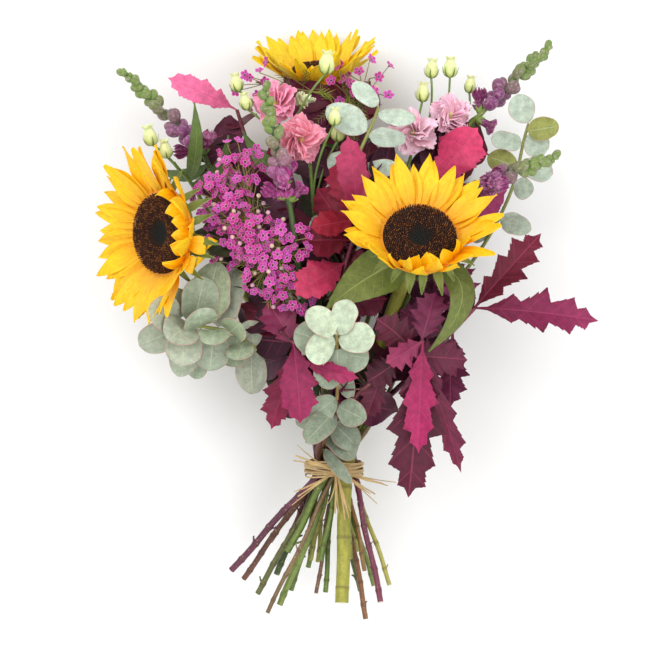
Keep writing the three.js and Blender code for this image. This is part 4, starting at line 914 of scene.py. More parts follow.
def grow_cup(name):
    axis, s, t, centre = head_of(name)
    disc, grain, neck = SUNFLOWERS[name]["disc"], SUNFLOWERS[name]["grain"], STEMS[name]["radius"]
    rim = disc + 3.6
    green = rgb(118, 132, 60)
    shape = grow(name, "green")
    profile = [
        (neck * 0.9, -NECK - 3), (neck, -NECK - 1.5), (neck * 1.5, -NECK + 0.5), (disc * 0.62, -NECK + 3),
        (disc * 0.85, -NECK + 4.8), (rim - 1, -8), (rim, -6.4), (rim, -5), (rim - 1.5, -4.4), (1, -4.35),
    ]
    shape.turned(centre, axis, profile, 54, green, relief=1 + 0.02 * np.cos(18 * turns(54)))
    hairs = grow(name, "hair")
    x, v = np.linspace(0, 1, 18), np.linspace(-1, 1, 9)
    for row in range(2):
        for i in range(BRACTS):
            out = around(s, t, 2 * pi * (i + 0.5 * (1 - row)) / BRACTS)
            tilt = radians(-14 - 10 * row + spread(8, grain, i, 2))
            forward, up = raised(out, axis, tilt, np.cross(axis, out) * spread(0.2, grain, i + 20 * row, 1))
            root = centre + out * (disc - 1 - 2 * row) - axis * (5.6 + 1.6 * row)
            length = disc * 0.75 + spread(3, grain, i, 3) - 3 * row
            blade = Blade(curl(root, forward, up, length, -0.5), up, 8.5 - row)
            y = (np.maximum(swell(x, 0.8, 0.35, 0, 1.15), 0.02) * blade.width / 2)[:, None] * v
            lift = 0.6 * v**2 - 0.3 * np.exp(-((y / 0.8) ** 2)) + 0.35 * np.cos(3 * pi * v)
            grid = shape.web(blade, x, v, y, lift, 0.7, green * (0.95 + 0.1 * draw(61, grain, row, i)))
            ahead = unit(np.gradient(grid[:, 4], axis=0))[2:-1]
            for roots in (grid[2:-1, 0], grid[2:-1, -1]):
                hairs.hairs(roots, unit(roots - grid[2:-1, 4]) + 0.8 * ahead, 1.5, rgb(222, 228, 180))


def ray_petal(shape, blade, tint, seed):
    rng = np.random.RandomState(5000 + seed)
    x, v = eased(20)[:, None], np.linspace(-1, 1, 15)
    half = np.maximum(swell(x, 0.5, 0.42, 0, 1.7 + 0.4 * rng.rand()), 0.03) * blade.width / 2
    y = half * v + (rng.rand() - 0.5) * 5 * x**2
    phase = rng.rand() * 6
    lift = blade.cup * blade.width / 2 * v**2 + 1.6 * np.sin(2.2 * pi * x + phase) * v * (0.4 + 0.6 * x)
    lift = lift + 0.32 * np.cos(v * pi * 4) * (1 - 0.6 * x) + 0.3 * np.cos(v * pi * 1.5 + phase)
    shape.web(blade, x[:, 0], v, y, lift, 0.5, tint, shift=seed * 1.7)


RAY_BROAD = {"sunflower_left": 0.5, "sunflower_right": 0.48, "sunflower_top": 0.66}
# Tips of two rays of the left flower that hang back over its rim.
HANGING = [[-106, 210, 74], [-119, 195, 70]]
# Which way the rays of the third row fold over the disc, and how far they rise and curl there, in degrees.
FOLDED = {
    "sunflower_left": [[0.72, 0, 0.69], 72, 60], "sunflower_right": [[0.5, -0.86, 0], 60, 60],
    "sunflower_top": [[0, 0, 1], 20, 20],
}


def grow_rays(name):
    axis, s, t, centre = head_of(name)
    disc, ray, rise, bend, grain = (SUNFLOWERS[name][key] for key in ("disc", "ray", "rise", "curl", "grain"))
    shape = grow(name + "_rays", "ray")
    # A collar joins the roots of the rays.
    outs = np.array([around(s, t, turn) for turn in turns(60)])
    corners = ((0.5, -3.9), (0.5, -1), (4, -1), (4, -3.9))
    collar = np.stack([centre + outs * (disc + wide) + axis * high for wide, high in corners], axis=1)
    shape.hoop(collar, centre + outs * (disc + 2.2) - axis * 2.4, rgb(230, 150, 20), np.full((240, 4, 2), 0.1))
    yellow = rgb(255, 216, 26) if name == "sunflower_top" else rgb(255, 200, 0)
    fold, fold_up, fold_curl = FOLDED[name]
    # Two rows as in the part, and a third one between them, with twice as many, that fills the gaps.
    for row, low, count in ((0, 0, RAYS), (1, 1, RAYS), (2, 0.5, 2 * RAYS)):
        third = row == 2
        for i in range(count):
            turn = 2 * pi * (i * RAYS / count + low / 2) / RAYS
            out = around(s, t, turn)
            key = (grain, row, i)
            aside = np.cross(axis, out) * spread(0.16 if third else 0.09, *key, 1)
            tilt = rise[0] + rise[1] * sin(turn) + rise[2] * sin(turn) ** 2 * 2 - 9 * low + spread(3, *key, 2)
            turn_up = bend[0] + bend[1] * min(0, sin(turn)) + spread(8, *key, 4)
            length = ray * (1 + spread(0.08, *key, 3))
            width = disc * RAY_BROAD[name] + spread(1, *key, 5)
            if third:
                folded = max(0, out @ vec(*fold) - 0.35)
                tilt += fold_up * folded
                turn_up += fold_curl * folded
                length *= 0.9 * (1 - 0.85 * folded)
                width *= 0.9
            forward, up = raised(out, axis, radians(tilt), aside)
            root = centre + out * (disc + 2.4) - axis * (2 + low)
            blade = Blade(curl(root, forward, up, length, radians(turn_up)), up, width, 0.1, 0.16)
            ray_petal(shape, blade, yellow * (1 + spread(0.05, 62, *key)), 100 * grain + 40 * row + i)
    for i, tip in enumerate(HANGING if name == "sunflower_left" else []):
        out = vec(*tip) - centre
        out = unit(out - axis * (out @ axis))
        root = centre + out * (disc + 2.4) - axis * 2
        way = Arc(root, root + out * 16 + axis * 2, vec(*tip))
        ray_petal(shape, Blade(way, axis, 17, 0.1, 0.16), yellow, 990 + i)


# How high the disc's florets stand, at shares of its radius.
DISC_HIGH = np.array([[0, 0.2], [0.15, 0.4], [0.3, 2.2], [0.42, 5], [0.58, 7], [0.74, 7.4], [0.9, 6], [1, 3]])
DISC_EYE = 0.35  # share of the radius where the florets are still closed and green


def disc_height(r):
    return np.interp(r, DISC_HIGH[:, 0], DISC_HIGH[:, 1])


def grow_disc(name):
    axis, s, t, centre = head_of(name)
    disc, grain = SUNFLOWERS[name]["disc"], SUNFLOWERS[name]["grain"]
    shape = grow(name + "_disc", "disc")
    profile = [(0.6, -3.9), (disc - 0.6, -3.9), (disc, -3), (disc, 0.5)]
    profile += [(disc * r, disc_height(r) - 2.6) for r in (0.95, 0.87, 0.78, 0.7, 0.6, 0.5, 0.4, 0.3, 0.2, 0.1, 0.02)]
    shape.turned(centre, axis, profile, 48, rgb(34, 16, 8))
    rng = np.random.RandomState(40 + grain)
    count = int(disc * disc * 0.92)
    for i in range(count):
        r = sqrt((i + 0.5) / count) * 0.985
        out = s * cos(GOLDEN * i) + t * sin(GOLDEN * i)
        low = centre + out * r * disc + axis * (disc_height(r) - 2.9)
        lean, tall, shade, aside = rng.rand(4)
        if r > DISC_EYE:
            lean = 0.35 * (r - 0.5) + 0.25 * (lean - 0.5)
            tall = 2.9 + 0.9 * tall
            tip = rgb(140, 84, 26) if shade < 0.24 else rgb(92, 46, 16) if shade < 0.7 else rgb(48, 22, 10)
            body = rgb(64, 26, 10)
            radii = (0.42, 0.5, 0.62, 0.2)
        else:
            lean = -0.25 * (0.5 - r) + 0.15 * (lean - 0.5)
            tall = 2.6 + 0.5 * tall
            tip = mixed(rgb(38, 46, 40), rgb(70, 40, 18), np.clip((r - 0.2) / 0.15, 0, 1) * (0.5 + 0.5 * shade))
            body = tip * 0.7
            radii = (0.5, 0.6, 0.5, 0.08)
        way = unit(axis + out * lean + s * (aside - 0.5) * 0.2) * tall
        shape.tube([low + way * q for q in (0, 0.55, 0.88, 1)], radii, 5, np.array([body, body, tip, tip]))


# ---- snapdragons ----

PURPLES = {"snapdragon_left": (132, 60, 116), "snapdragon_middle": (142, 72, 120)}


def snap_tint(name, up):
    """Dusty mauve at the foot of the spike, green at its tip."""
    return mixed(rgb(*PURPLES.get(name, (118, 48, 100))), rgb(112, 136, 58), np.clip((up - 0.3) / 0.35, 0, 1))


def bud_shape():
    """A closed snapdragon flower, one unit long: two lobes folded over each other, in a small calyx."""
    shape = Shape()
    z = np.array([0.02, 0.1, 0.25, 0.42, 0.58, 0.74, 0.87, 0.95, 1.0])
    r = np.array([0.12, 0.22, 0.31, 0.35, 0.35, 0.32, 0.25, 0.15, 0.02])
    turn = turns(16)
    fold = 1 + 0.1 * np.abs(np.sin(turn)) * np.linspace(0.2, 1, 9)[:, None]
    fold = fold - 0.16 * np.exp(-((np.minimum(turn, 2 * pi - turn) / 0.3) ** 2)) * (z > 0.3)[:, None]
    tint = mixed(vec(0.8, 1.05, 0.8), vec(1, 1, 1), np.minimum(1, z * 2)[:, None])
    shape.turned(vec(0, 0, 0), UP, np.stack([r, z], 1), 16, tint, relief=fold)
    return shape.whole()


def calyx_shape():
    """Five pointed sepals round the foot of a flower, for a unit length."""
    shape = Shape()
    x, v = np.linspace(0, 1, 8), np.linspace(-1, 1, 5)
    for turn in turns(5):
        out = level(turn)
        blade = Blade(Arc(out * 0.02, out * 0.2 + UP * 0.06, out * 0.25 + UP * 0.38), out, 0.24)
        y = (swell(x, 0.6, 0.4, 0.02, 1.4) * blade.width / 2)[:, None] * v
        shape.web(blade, x, v, y, -0.05 * v**2, 0.035, vec(1, 1, 1), resting=False)
    return shape.whole()


BUD, CALYX = bud_shape(), calyx_shape()


def lip(shape, blade, tint, seed, lobes):
    """A lip of an open snapdragon flower, cut into ruffled lobes."""
    x, v = np.linspace(0, 1, 16)[:, None], np.linspace(-1, 1, 19)
    notch = 0.16 * np.abs(np.cos(v * pi * lobes / 2)) ** 0.7
    along = x * (1 - (0.1 * v**2 + 0.16 - notch) * x**2)
    ruffle = np.sin(v * pi * (lobes + 1.5) + seed) * 0.13 * blade.width * x**2.2
    lift = blade.cup * blade.width / 2 * v**2 + ruffle + 0.04 * blade.width * np.sin(3 * v * pi + 2 * seed)
    shade = (0.9 + 0.35 * x + 0.15 * np.cos(v * pi * lobes))[..., None]
    y = swell(x, 0.3, 0.62, 0.62, 2) * blade.width / 2 * v
    shape.web(blade, x[:, 0], v, y, lift, 0.5, tint * shade, along=along, shift=seed)


def open_flower(petals, place, aim, size, length, deep, i):
    """A throat with an upper and a lower lip, and a smaller lip inside each."""
    throat = [place + aim * length * q for q in (0.02, 0.15, 0.32, 0.5, 0.6)]
    petals.tube(throat, np.array([0.14, 0.26, 0.34, 0.36, 0.2]) * size, 14, deep * 0.9)
    side = across(aim)[1]
    for part, lobes, bright in ((-1, 2, 0.95), (1, 3, 1.15)):
        flare = side * part
        ahead, face = unit(aim * 0.75 + flare * 0.65), unit(aim * 0.65 - flare * 0.75)
        root = place + aim * (0.45 * length - 1) + flare * size * 0.24
        blade = Blade(curl(root, ahead, face, size * 1.6, -0.8), face, size * 1.3, 0.2)
        lip(petals, blade, deep * bright, i + 0.5 * part, lobes)
        inner = Blade(curl(root + aim * 1.2, unit(ahead + aim * 0.5), face, size * 0.95, -0.3), face, size, 0.35)
        lip(petals, inner, mixed(deep, rgb(220, 150, 190), 0.25), i + 2.5 * part, 2)


MORE_BUDS = 14


def grow_spike(name):
    start, buds, opened, grain = SNAPDRAGONS[name].values()
    petals, greens = grow(name, "snap"), grow(name, "green")
    green = rgb(120, 148, 62)

    def bud(place, aim, turn, size, tint):
        petals.stamp(BUD, place, aim, turn, size, tint)
        greens.stamp(CALYX, place, aim, turn, size, green)

    for i in range(buds):
        up = i / (buds - 1)
        place, direction = on_stem(name, start + (0.99 - start) * up**0.8)
        turn = GOLDEN * i + spread(0.3, grain, i, 1)
        out = around(*across(direction), turn)
        lean = radians(62 - 30 * up)
        forward = unit(out * sin(lean) + direction * cos(lean))
        size = 11 if i < opened else 10 - 4.6 * up
        length = size * (2.3 if i < opened else 1.9)

        def make(k):
            swing = 0.25 * k * (1 if k % 2 else -1)
            return [unit(forward + np.cross(out, direction) * swing + direction * 0.06 * k)]

        # The part's closed buds end in a point. Its open ones end in two lips, whose roots tell the place.
        found = chosen(name, 12, make, lambda aim: [place + aim[0] * length])
        if found and i >= opened:
            bud(place, found[0], turn, length, snap_tint(name, up) * (1 + spread(0.12, 83, grain, i)))
        elif found:
            greens.stamp(CALYX, place, found[0], turn, length * 0.8, green)
            deep = rgb(150, 34, 116) if name == "snapdragon_middle" else rgb(126, 36, 96)
            open_flower(petals, place, found[0], size, length, deep, i)
    # More closed buds fill the spike, and the youngest crowd round its tip.
    for i in range(MORE_BUDS):
        up = 0.22 + 0.7 * i / (MORE_BUDS - 1)
        place, direction = on_stem(name, start + (0.99 - start) * up**0.8)
        turn = GOLDEN * i + 2.2
        aim = unit(around(*across(direction), turn) * (1.1 - 0.4 * up) + direction)
        bud(place, aim, turn, 17 - 8 * up, snap_tint(name, up) * (1 + spread(0.15, 83, grain, i + 40)))
    for i in range(MORE_BUDS):
        place, direction = on_stem(name, 0.88 + 0.12 * i / (MORE_BUDS - 1))
        turn = GOLDEN * i + 1.3
        aim = unit(around(*across(direction), turn) * 0.75 + direction)
        bud(place, aim, turn, 8.4 - 0.24 * i, rgb(122, 146, 62))


# ---- lisianthus ----

BLOOM_TINTS = {
    "bloom_pink_left": (252, 168, 198), "bloom_pink_centre": (252, 166, 186), "bloom_pink_right": (253, 206, 222),
    "bloom_pink_high": (253, 202, 220), "bloom_white": (242, 244, 204),
}


def twig_way(name, share, place, bend=None):
    root, direction = on_stem(name, share)
    return Arc(root, vec(*bend) if bend else root + direction * np.linalg.norm(root - place) * 0.5, place)


def ruffled_petal(shape, blade, tint, seed, ruffle=0.1):
    phase = np.random.RandomState(7000 + seed).rand(4) * 6
    x, v = np.linspace(0, 1, 18)[:, None], np.linspace(-1, 1, 23)
    frill = 0.03 * np.sin(v * 11 + phase[3]) + 0.02 * np.sin(v * 23 + phase[0])
    along = x * (1 - (0.2 * v**2 + frill) * x**2)
    wave = 0.8 * np.sin(v * pi * 1.5 + phase[0]) + 0.3 * np.sin(v * pi * 4.1 + phase[1])
    lift = blade.cup * blade.width / 2 * v**2 + ruffle * blade.width * wave * x**2.5
    lift = lift + 0.12 * np.cos(v * pi * 6 + phase[2])
    y = swell(x, 0.2, 0.6, 0.66, 2) * blade.width / 2 * v
    shape.web(blade, x[:, 0], v, y, lift, 0.45, tint * (0.92 + 0.12 * x[..., None]), along=along, shift=seed * 1.3)


def grow_bloom(node):
    on, share, place, axis, radius = BLOOMS[node]
    axis = unit(vec(*axis))
    base = vec(*place) - axis * radius * 0.75
    s, t = across(axis)
    index, white = list(BLOOMS).index(node), node == "bloom_white"
    grain, under = 20 + index, base - axis * 3
    green = rgb(122, 150, 76)
    grow(on, "stem").tube(twig_way(on, share, under).steps(14), 1.2, 8, green)
    sepals = [(1, -2.4), (1.8, -1.6), (2.8, 0), (3.7, 1.8), (3.4, 2.7), (1, 2.7)]
    grow(on, "green").turned(under, axis, sepals, 14, green)
    tint, shape = rgb(*BLOOM_TINTS[node]), grow(node, "petal")
    eye = [(0.6, 0.1), (3.4, 0.6), (4.2, 3), (3.6, radius * 0.3), (2.4, radius * 0.42), (1, radius * 0.5)]
    grow(node, "bud").turned(base, axis, eye, 14, rgb(196, 204, 110))
    for row, (count, rise) in enumerate([(3, 80), (4, 66)] if white else [(3, 66), (5, 40)]):
        for i in range(count):
            key = (grain, row, i)
            out = around(s, t, 2 * pi * (i + row / 2 + spread(0.15, *key, 1)) / count)
            aside = np.cross(axis, out)
            forward, up = raised(out, axis, radians(rise + spread(6, *key, 2)), aside * 0.24)
            root = base + out * 2 + axis * (3 - 2 * row)
            length = radius * (1.05 + spread(0.06, *key, 3))
            width = radius * (0.75 + 0.2 * row) * (1.4 if white else 1)
            turn_up = -0.5 + spread(0.3, *key, 4)

            def make(k):
                shrink = 1 - 0.12 * k
                return Blade(curl(root, forward, up, length * shrink, turn_up), up, width * shrink, 0.2, 0.34)

            probes = ((1, 0.66, -1), (1, 0.66, 1), (0.55, 1, 1))
            blade = chosen(node, 5, make, lambda b: [b.edge(*probe) for probe in probes]) or make(4)
            seed = 40 * grain + 10 * row + i
            ruffled_petal(shape, blade, tint, seed)
            # Doubled petals, a little shorter, on the inner side.
            long = np.linalg.norm(blade.way.b - blade.way.a)
            for extra in range(2 if row == 0 else 1):
                swing = unit(forward + axis * (0.25 + 0.2 * extra) + aside * (0.5 - 0.9 * extra))
                way = curl(root - out * 0.6, swing, unit(up - 0.3 * out), long * (0.9 - 0.16 * extra), turn_up - 0.2)
                inner = Blade(way, up, blade.width * 1.05, 0.3, 0.3)
                ruffled_petal(shape, inner, tint * (1.02 - 0.05 * extra), seed + 500 * (extra + 1), 0.12)


def grow_bud(n):
    name, share, where, length, *bend = BUDS[n]
    root = on_stem(name, share)[0]

    def make(k):
        tip = nudged(where, k, 30, n)
        lean = unit(unit(tip - root) * 0.5 + vec(0, 0.9, 0) + UP * 0.2)
        return lean, tip - lean * length * 0.5

    found = chosen(name, 12, make, lambda p: [p[1] + p[0] * length])
    if not found:
        return
    lean, base = found
    green, cream, pale = rgb(112, 140, 66), rgb(200, 214, 122), rgb(228, 234, 172)
    grow(name, "stem").tube(twig_way(name, share, base + lean, *bend).steps(16), 1.05, 8, green)
    wide = length * 0.33
    z = np.array([0.0, 0.07, 0.18, 0.32, 0.46, 0.6, 0.72, 0.82, 0.9, 0.96, 1.0])
    r = np.array([0.28, 0.6, 0.9, 1.0, 0.98, 0.88, 0.74, 0.6, 0.52, 0.56, 0.3]) * wide
    relief = 1 + 0.07 * np.cos(turns(20) * 5 + 5 * z[:, None]) * (0.4 + 0.6 * z[:, None])
    tint = mixed(cream, pale, np.minimum(1, z * 1.4)[:, None])
    bud = grow(name, "bud")
    bud.turned(base, lean, np.stack([r, z * length * 0.97], 1), 20, tint, relief=relief)
    s, t = across(lean)
    x, v = np.linspace(0, 1, 9), np.linspace(-1, 1, 5)
    sepals = grow(name, "green")
    top = base + lean * length * 0.8
    for turn in turns(5):
        out = around(s, t, turn + n)
        # Sepals stand round the foot, and petal tips open at the top.
        way = Arc(base + out * 0.6, base + out * wide * 1.15 + lean, base + out * wide * 1.2 + lean * length * 0.5)
        y = (swell(x, 0.8, 0.3, 0.05, 1.2) * 1.1)[:, None] * v
        sepals.web(Blade(way, out, 2.2), x, v, y, 0 * v, 0.35, green)
        end = top + out * wide * 0.95 + lean * length * 0.2
        way = Arc(top + out * wide * 0.5, top + out * wide * 0.55 + lean * 2, end)
        y = (swell(x, 0.9, 0.3, 0.1, 1.5) * wide * 0.4)[:, None] * v
        bud.web(Blade(way, out, wide * 0.8), x, v, y, -0.3 * v**2, 0.4, pale)


# ---- waxflower ----


def floret_shape():
    """An open waxflower of radius 1: five round petals round a shallow cup."""
    shape = Shape()
    x, v = eased(8), np.linspace(-1, 1, 7)
    half = np.maximum((1 - np.abs(2 * x - 1.0) ** 2.2) ** 0.5, 0.3 * (1 - x)) * 0.37 + 0.01
    shade = (0.82 + 0.5 * x[:, None] ** 1.5 + 0.14 * v**2)[..., None] * vec(1, 1, 1)
    for turn in turns(5):
        out = level(turn)
        blade = Blade(Arc(out * 0.26, out * 0.62 + UP * 0.06, out * 0.98 + UP * 0.2), UP, 0.74)
        shape.web(blade, x, v, half[:, None] * v, 0.1 * v**2, 0.06, shade, resting=False)
    return shape.whole()


def cup_shape():
    """The floret's cup: a green foot, a pale ring of stamens and a dark middle."""
    shape = Shape()
    profile = [(0.06, -0.42), (0.14, -0.36), (0.24, -0.12), (0.32, 0.06), (0.33, 0.12), (0.27, 0.12)]
    profile += [(0.2, 0.0), (0.05, -0.02)]
    pale, dark = rgb(226, 160, 200), rgb(96, 16, 54)
    tint = np.array([rgb(120, 110, 60), rgb(130, 116, 70), rgb(150, 90, 100), pale, pale, pale, dark, dark])
    shape.turned(vec(0, 0, 0), UP, profile, 15, tint)
    for turn in turns(10) + 0.3:
        out = level(turn)
        stamen = [out * 0.3 + UP * 0.08, out * 0.3 + UP * 0.16, out * 0.26 + UP * 0.24]
        shape.tube(stamen, [0.025, 0.022, 0.035], 4, pale)
    return shape.whole()


WAX_PETALS, WAX_CUP = floret_shape(), cup_shape()
WAX_GAP = 5.9  # between the middles of two florets
WAX_TRIES, WAX_REACH = 320, 25  # for the florets that fill a cluster, and how far from its middle they stand
CROWD_GAP = 5  # from a filling floret to what stands beside the spray
CROWD = ["sunflower_left_rays", "snapdragon_middle", "eucalyptus_low", "bloom_pink_left", "oak_centre", "oak_left"]


def on_twig(way, u):
    begin = 0 if u < 0.5 else 0.5
    a, b = way.at(begin), way.at(begin + 0.5)
    return a + (b - a) * 2 * (u - begin)


taken = []


def grow_floret(name, root, place, axis, key, size=1.0):
    magenta = mixed(rgb(180, 20, 122), rgb(194, 64, 168), draw(84, *key))
    stalk = Arc(root, (root + place) / 2 - UP + axis * 1.5, place - axis * 1.9)
    grow(name, "needle").tube(stalk.steps(6), 0.45, 5, rgb(134, 120, 66))
    spin = 6 * draw(85, *key)
    grow(name, "wax").stamp(WAX_PETALS, place + axis * 0.4, axis, spin, FLORET * size, magenta)
    grow(name, "bud").stamp(WAX_CUP, place + axis * 0.4, axis, spin, FLORET * size)
    taken.append(place)


def grow_cluster(n):
    name, share, where, count = CLUSTERS[n]
    hub = vec(*where) - UP * 4
    way = twig_way(name, share, hub)
    twig = [on_twig(way, u) for u in np.linspace(0, 1, 13)]
    grow(name, "stem").tube(twig, np.linspace(1.3, 0.8, 13), 7, rgb(128, 112, 62))
    for i in range(count):
        root = on_twig(way, 1 - 0.6 * i / count)

        def make(k):
            out = level(GOLDEN * i + spread(0.5 + 0.1 * k, 50, n, i, k, 1))
            reach = 4 + 11 * sqrt((i + 0.4) / count)
            return [hub + out * reach + UP * (6 + spread(4 + 0.6 * k, 50, n, i, k, 2))]

        found = chosen(name, 16, make, lambda p: p)
        if found:
            grow_floret(name, root, found[0], unit(unit(found[0] - root) * 0.6 + UP * 0.8), (n, i))
    root = on_twig(way, 0.6)
    for k in range(12):
        end = root + level(GOLDEN * (1 + 7 * k) + n) * 18 + UP * (6 + 6 * draw(51, n, k))
        if gap(name, end) < TOUCH:
            break
    # Needles stand in tufts, in pairs along a thin shoot.
    needles = grow(name, "needle")
    ahead, side = unit(end - root), unit(np.cross(end - root, UP))
    needles.tube([root, root + ahead * 9, end], [0.55, 0.45, 0.12], 5, rgb(150, 164, 60))
    for j in range(6):
        at = root + ahead * (3 + 2.4 * j)
        tip = at + ahead * (7 + 3 * draw(86, n, j)) + side * (5 if j % 2 else -5) + UP * (2 + 3 * draw(87, n, j))
        leafy = rgb(156, 172, 62) * (0.8 + 0.4 * draw(88, n, j))
        needles.tube([at, (at + tip) / 2 + UP * 0.5, tip], [0.4, 0.42, 0.08], 4, leafy)


def fill_cluster(n):
    """Smaller florets and round buds between the part's own, each on a stalk of its own."""
    name, share, where, _ = CLUSTERS[n]
    hub = vec(*where) - UP * 4
    way = twig_way(name, share, hub)
    wanted = 22 if name == "waxflower" else 6
    for k in range(WAX_TRIES):
        a, r = ROUND * draw(90, n, k), WAX_REACH * sqrt(draw(91, n, k))
        place = hub + level(a) * r + UP * (1 + 9 * draw(92, n, k) - 0.25 * r)
        if not wanted:
            break
        if min(np.linalg.norm(place - p) for p in taken) < WAX_GAP or min(gap(c, place) for c in CROWD) < CROWD_GAP:
            continue
        wanted -= 1
        root = on_twig(way, 0.45 + 0.5 * draw(93, n, k))
        axis = unit(unit(place - root) * 0.5 + UP * 0.6 + vec(spread(0.9, 94, n, k), spread(0.9, 95, n, k), 0))
        if draw(96, n, k) < 0.78:
            grow_floret(name, root, place, axis, (n, k + 100), 0.8 + 0.36 * draw(97, n, k))
            continue
        stalk = Arc(root, (root + place) / 2, place)
        grow(name, "needle").tube(stalk.steps(6), 0.42, 5, rgb(140, 126, 72))
        bud = [(0.3, -1.6), (1.5, -1), (2.1, 0.2), (2.1, 1.2), (1.4, 2.1), (0.4, 2.5)]
        blush = mixed(rgb(222, 200, 168), rgb(206, 150, 186), draw(98, n, k))
        grow(name, "bud").turned(place, axis, bud, 12, blush)
        taken.append(place)
    # Thin shoots with fine needles stand between the florets.
    needles = grow(name, "needle")
    for j in range(3 if name == "waxflower" else 5):
        root = on_twig(way, 0.3 + 0.5 * draw(32, n, j))
        ahead = unit(level(ROUND * draw(31, n, j)) + UP * (0.35 + 0.5 * draw(33, n, j)))
        side = unit(np.cross(ahead, UP))
        long = 20 + 9 * draw(34, n, j)
        leafy = rgb(84, 100, 50) if j % 2 else rgb(140, 152, 62)
        shoot = [root, root + ahead * long * 0.5, root + ahead * long + UP * 2]
        needles.tube(shoot, [0.45, 0.35, 0.12], 4, leafy)
        for m in range(9):
            at = root + ahead * long * (0.25 + 0.08 * m)
            out = unit(ahead + side * (1 if m % 2 else -1) * 0.8 + UP * spread(0.7, 35, n, j, m))
            needles.tube([at, at + out * 4, at + out * 7.5], [0.3, 0.32, 0.06], 3, leafy)


# ---- tie ----

STRANDS = 13
RAFFIA_ENDS = [[50, -14, 30], [38, -22, 26], [1, -40, 30], [14, -44, 30], [-34, -24, 34], [-36, 14, 30]]


def grow_tie():
    shape = grow("raffia_tie", "raffia")
    straw = rgb(205, 175, 122)
    rng = np.random.RandomState(77)
    turn = turns(96)
    out = np.stack([np.cos(turn), 0 * turn, np.sin(turn)], axis=1)
    # The strands lie side by side and across each other, each a flat ribbon that closes on itself.
    for j in range(STRANDS):
        wobble = rng.rand(4) * 6
        y = j - 6 + 2 * np.sin(turn + wobble[0]) + 0.6 * np.sin(3 * turn + wobble[1])
        r = BUNDLE + 1.2 + 0.6 * (j % 4) + 0.35 * np.sin(2 * turn + wobble[2])
        centre = out * r[:, None] + vec(0, 1, 0) * y[:, None]
        wide, thick = vec(0, 0.5 + 0.5 * rng.rand(), 0), out * 0.3
        corners = ((-1, -1), (1, -1), (1, 1), (-1, 1))
        section = np.stack([centre + wide * a + thick * b for a, b in corners], axis=1)
        sides = np.tile([0.1, 0.9, 0.9, 0.1], (4 * len(turn), 1))
        uv = np.stack([sides, np.repeat(turn * 3, 4)[:, None] + [0, 0, 0.2, 0.2]], axis=-1)
        shape.hoop(section, centre, straw * (0.85 + 0.25 * rng.rand()), uv)
    knot = vec(2, 0, BUNDLE + 3)
    a = np.linspace(0, 2 * pi * 0.92, 16)[:, None]
    for j in range(4):
        c, d = cos(0.8 * j), sin(0.8 * j)
        loop = np.cos(a) * vec(c, d, 0) + np.sin(a) * vec(-d * 0.6, c * 0.6, 0.7)
        shape.tube(knot + (4.4 - 0.5 * j) * loop * vec(1, 1, 0.6), 1.5, 7, straw * (0.8 + 0.08 * j), flat=0.7)
    x, v = np.linspace(0, 1, 26)[:, None], np.linspace(-1, 1, 5)
    for i, place in enumerate(RAFFIA_ENDS):

        def make(k):
            end = nudged(place, k, 60, i)
            return Blade(Arc(knot, (knot + end) / 2 + UP * 6, end), UP, 3)

        blade = chosen("raffia_tie", 20, make, lambda b: [b.edge(1, 0.6, -1), b.edge(1, 0.6, 1), b.edge(0.5, 1, 1)])
        for strand in range(3 if blade else 0):
            end = blade.way.b + vec(spread(5, 99, i, strand, 1), spread(5, 99, i, strand, 2), -2) * strand
            ribbon = Blade(Arc(knot, blade.way.m + UP * strand, end), UP, 3)
            y = (1.3 - 0.4 * strand) * (1 - 0.55 * x**3) * v
            twist = 0.9 * np.sin(5 * x + i + 2 * strand)
            lift = y * np.sin(twist) + 1.2 * np.sin(7 * x + i) * x + 0.4 * v**2
            tint = straw * (0.9 + 0.15 * draw(99, i, strand))
            shape.web(ribbon, x[:, 0], v, y * np.cos(twist), lift, 0.35, tint, stretch=4.0)


# ---- materials ----


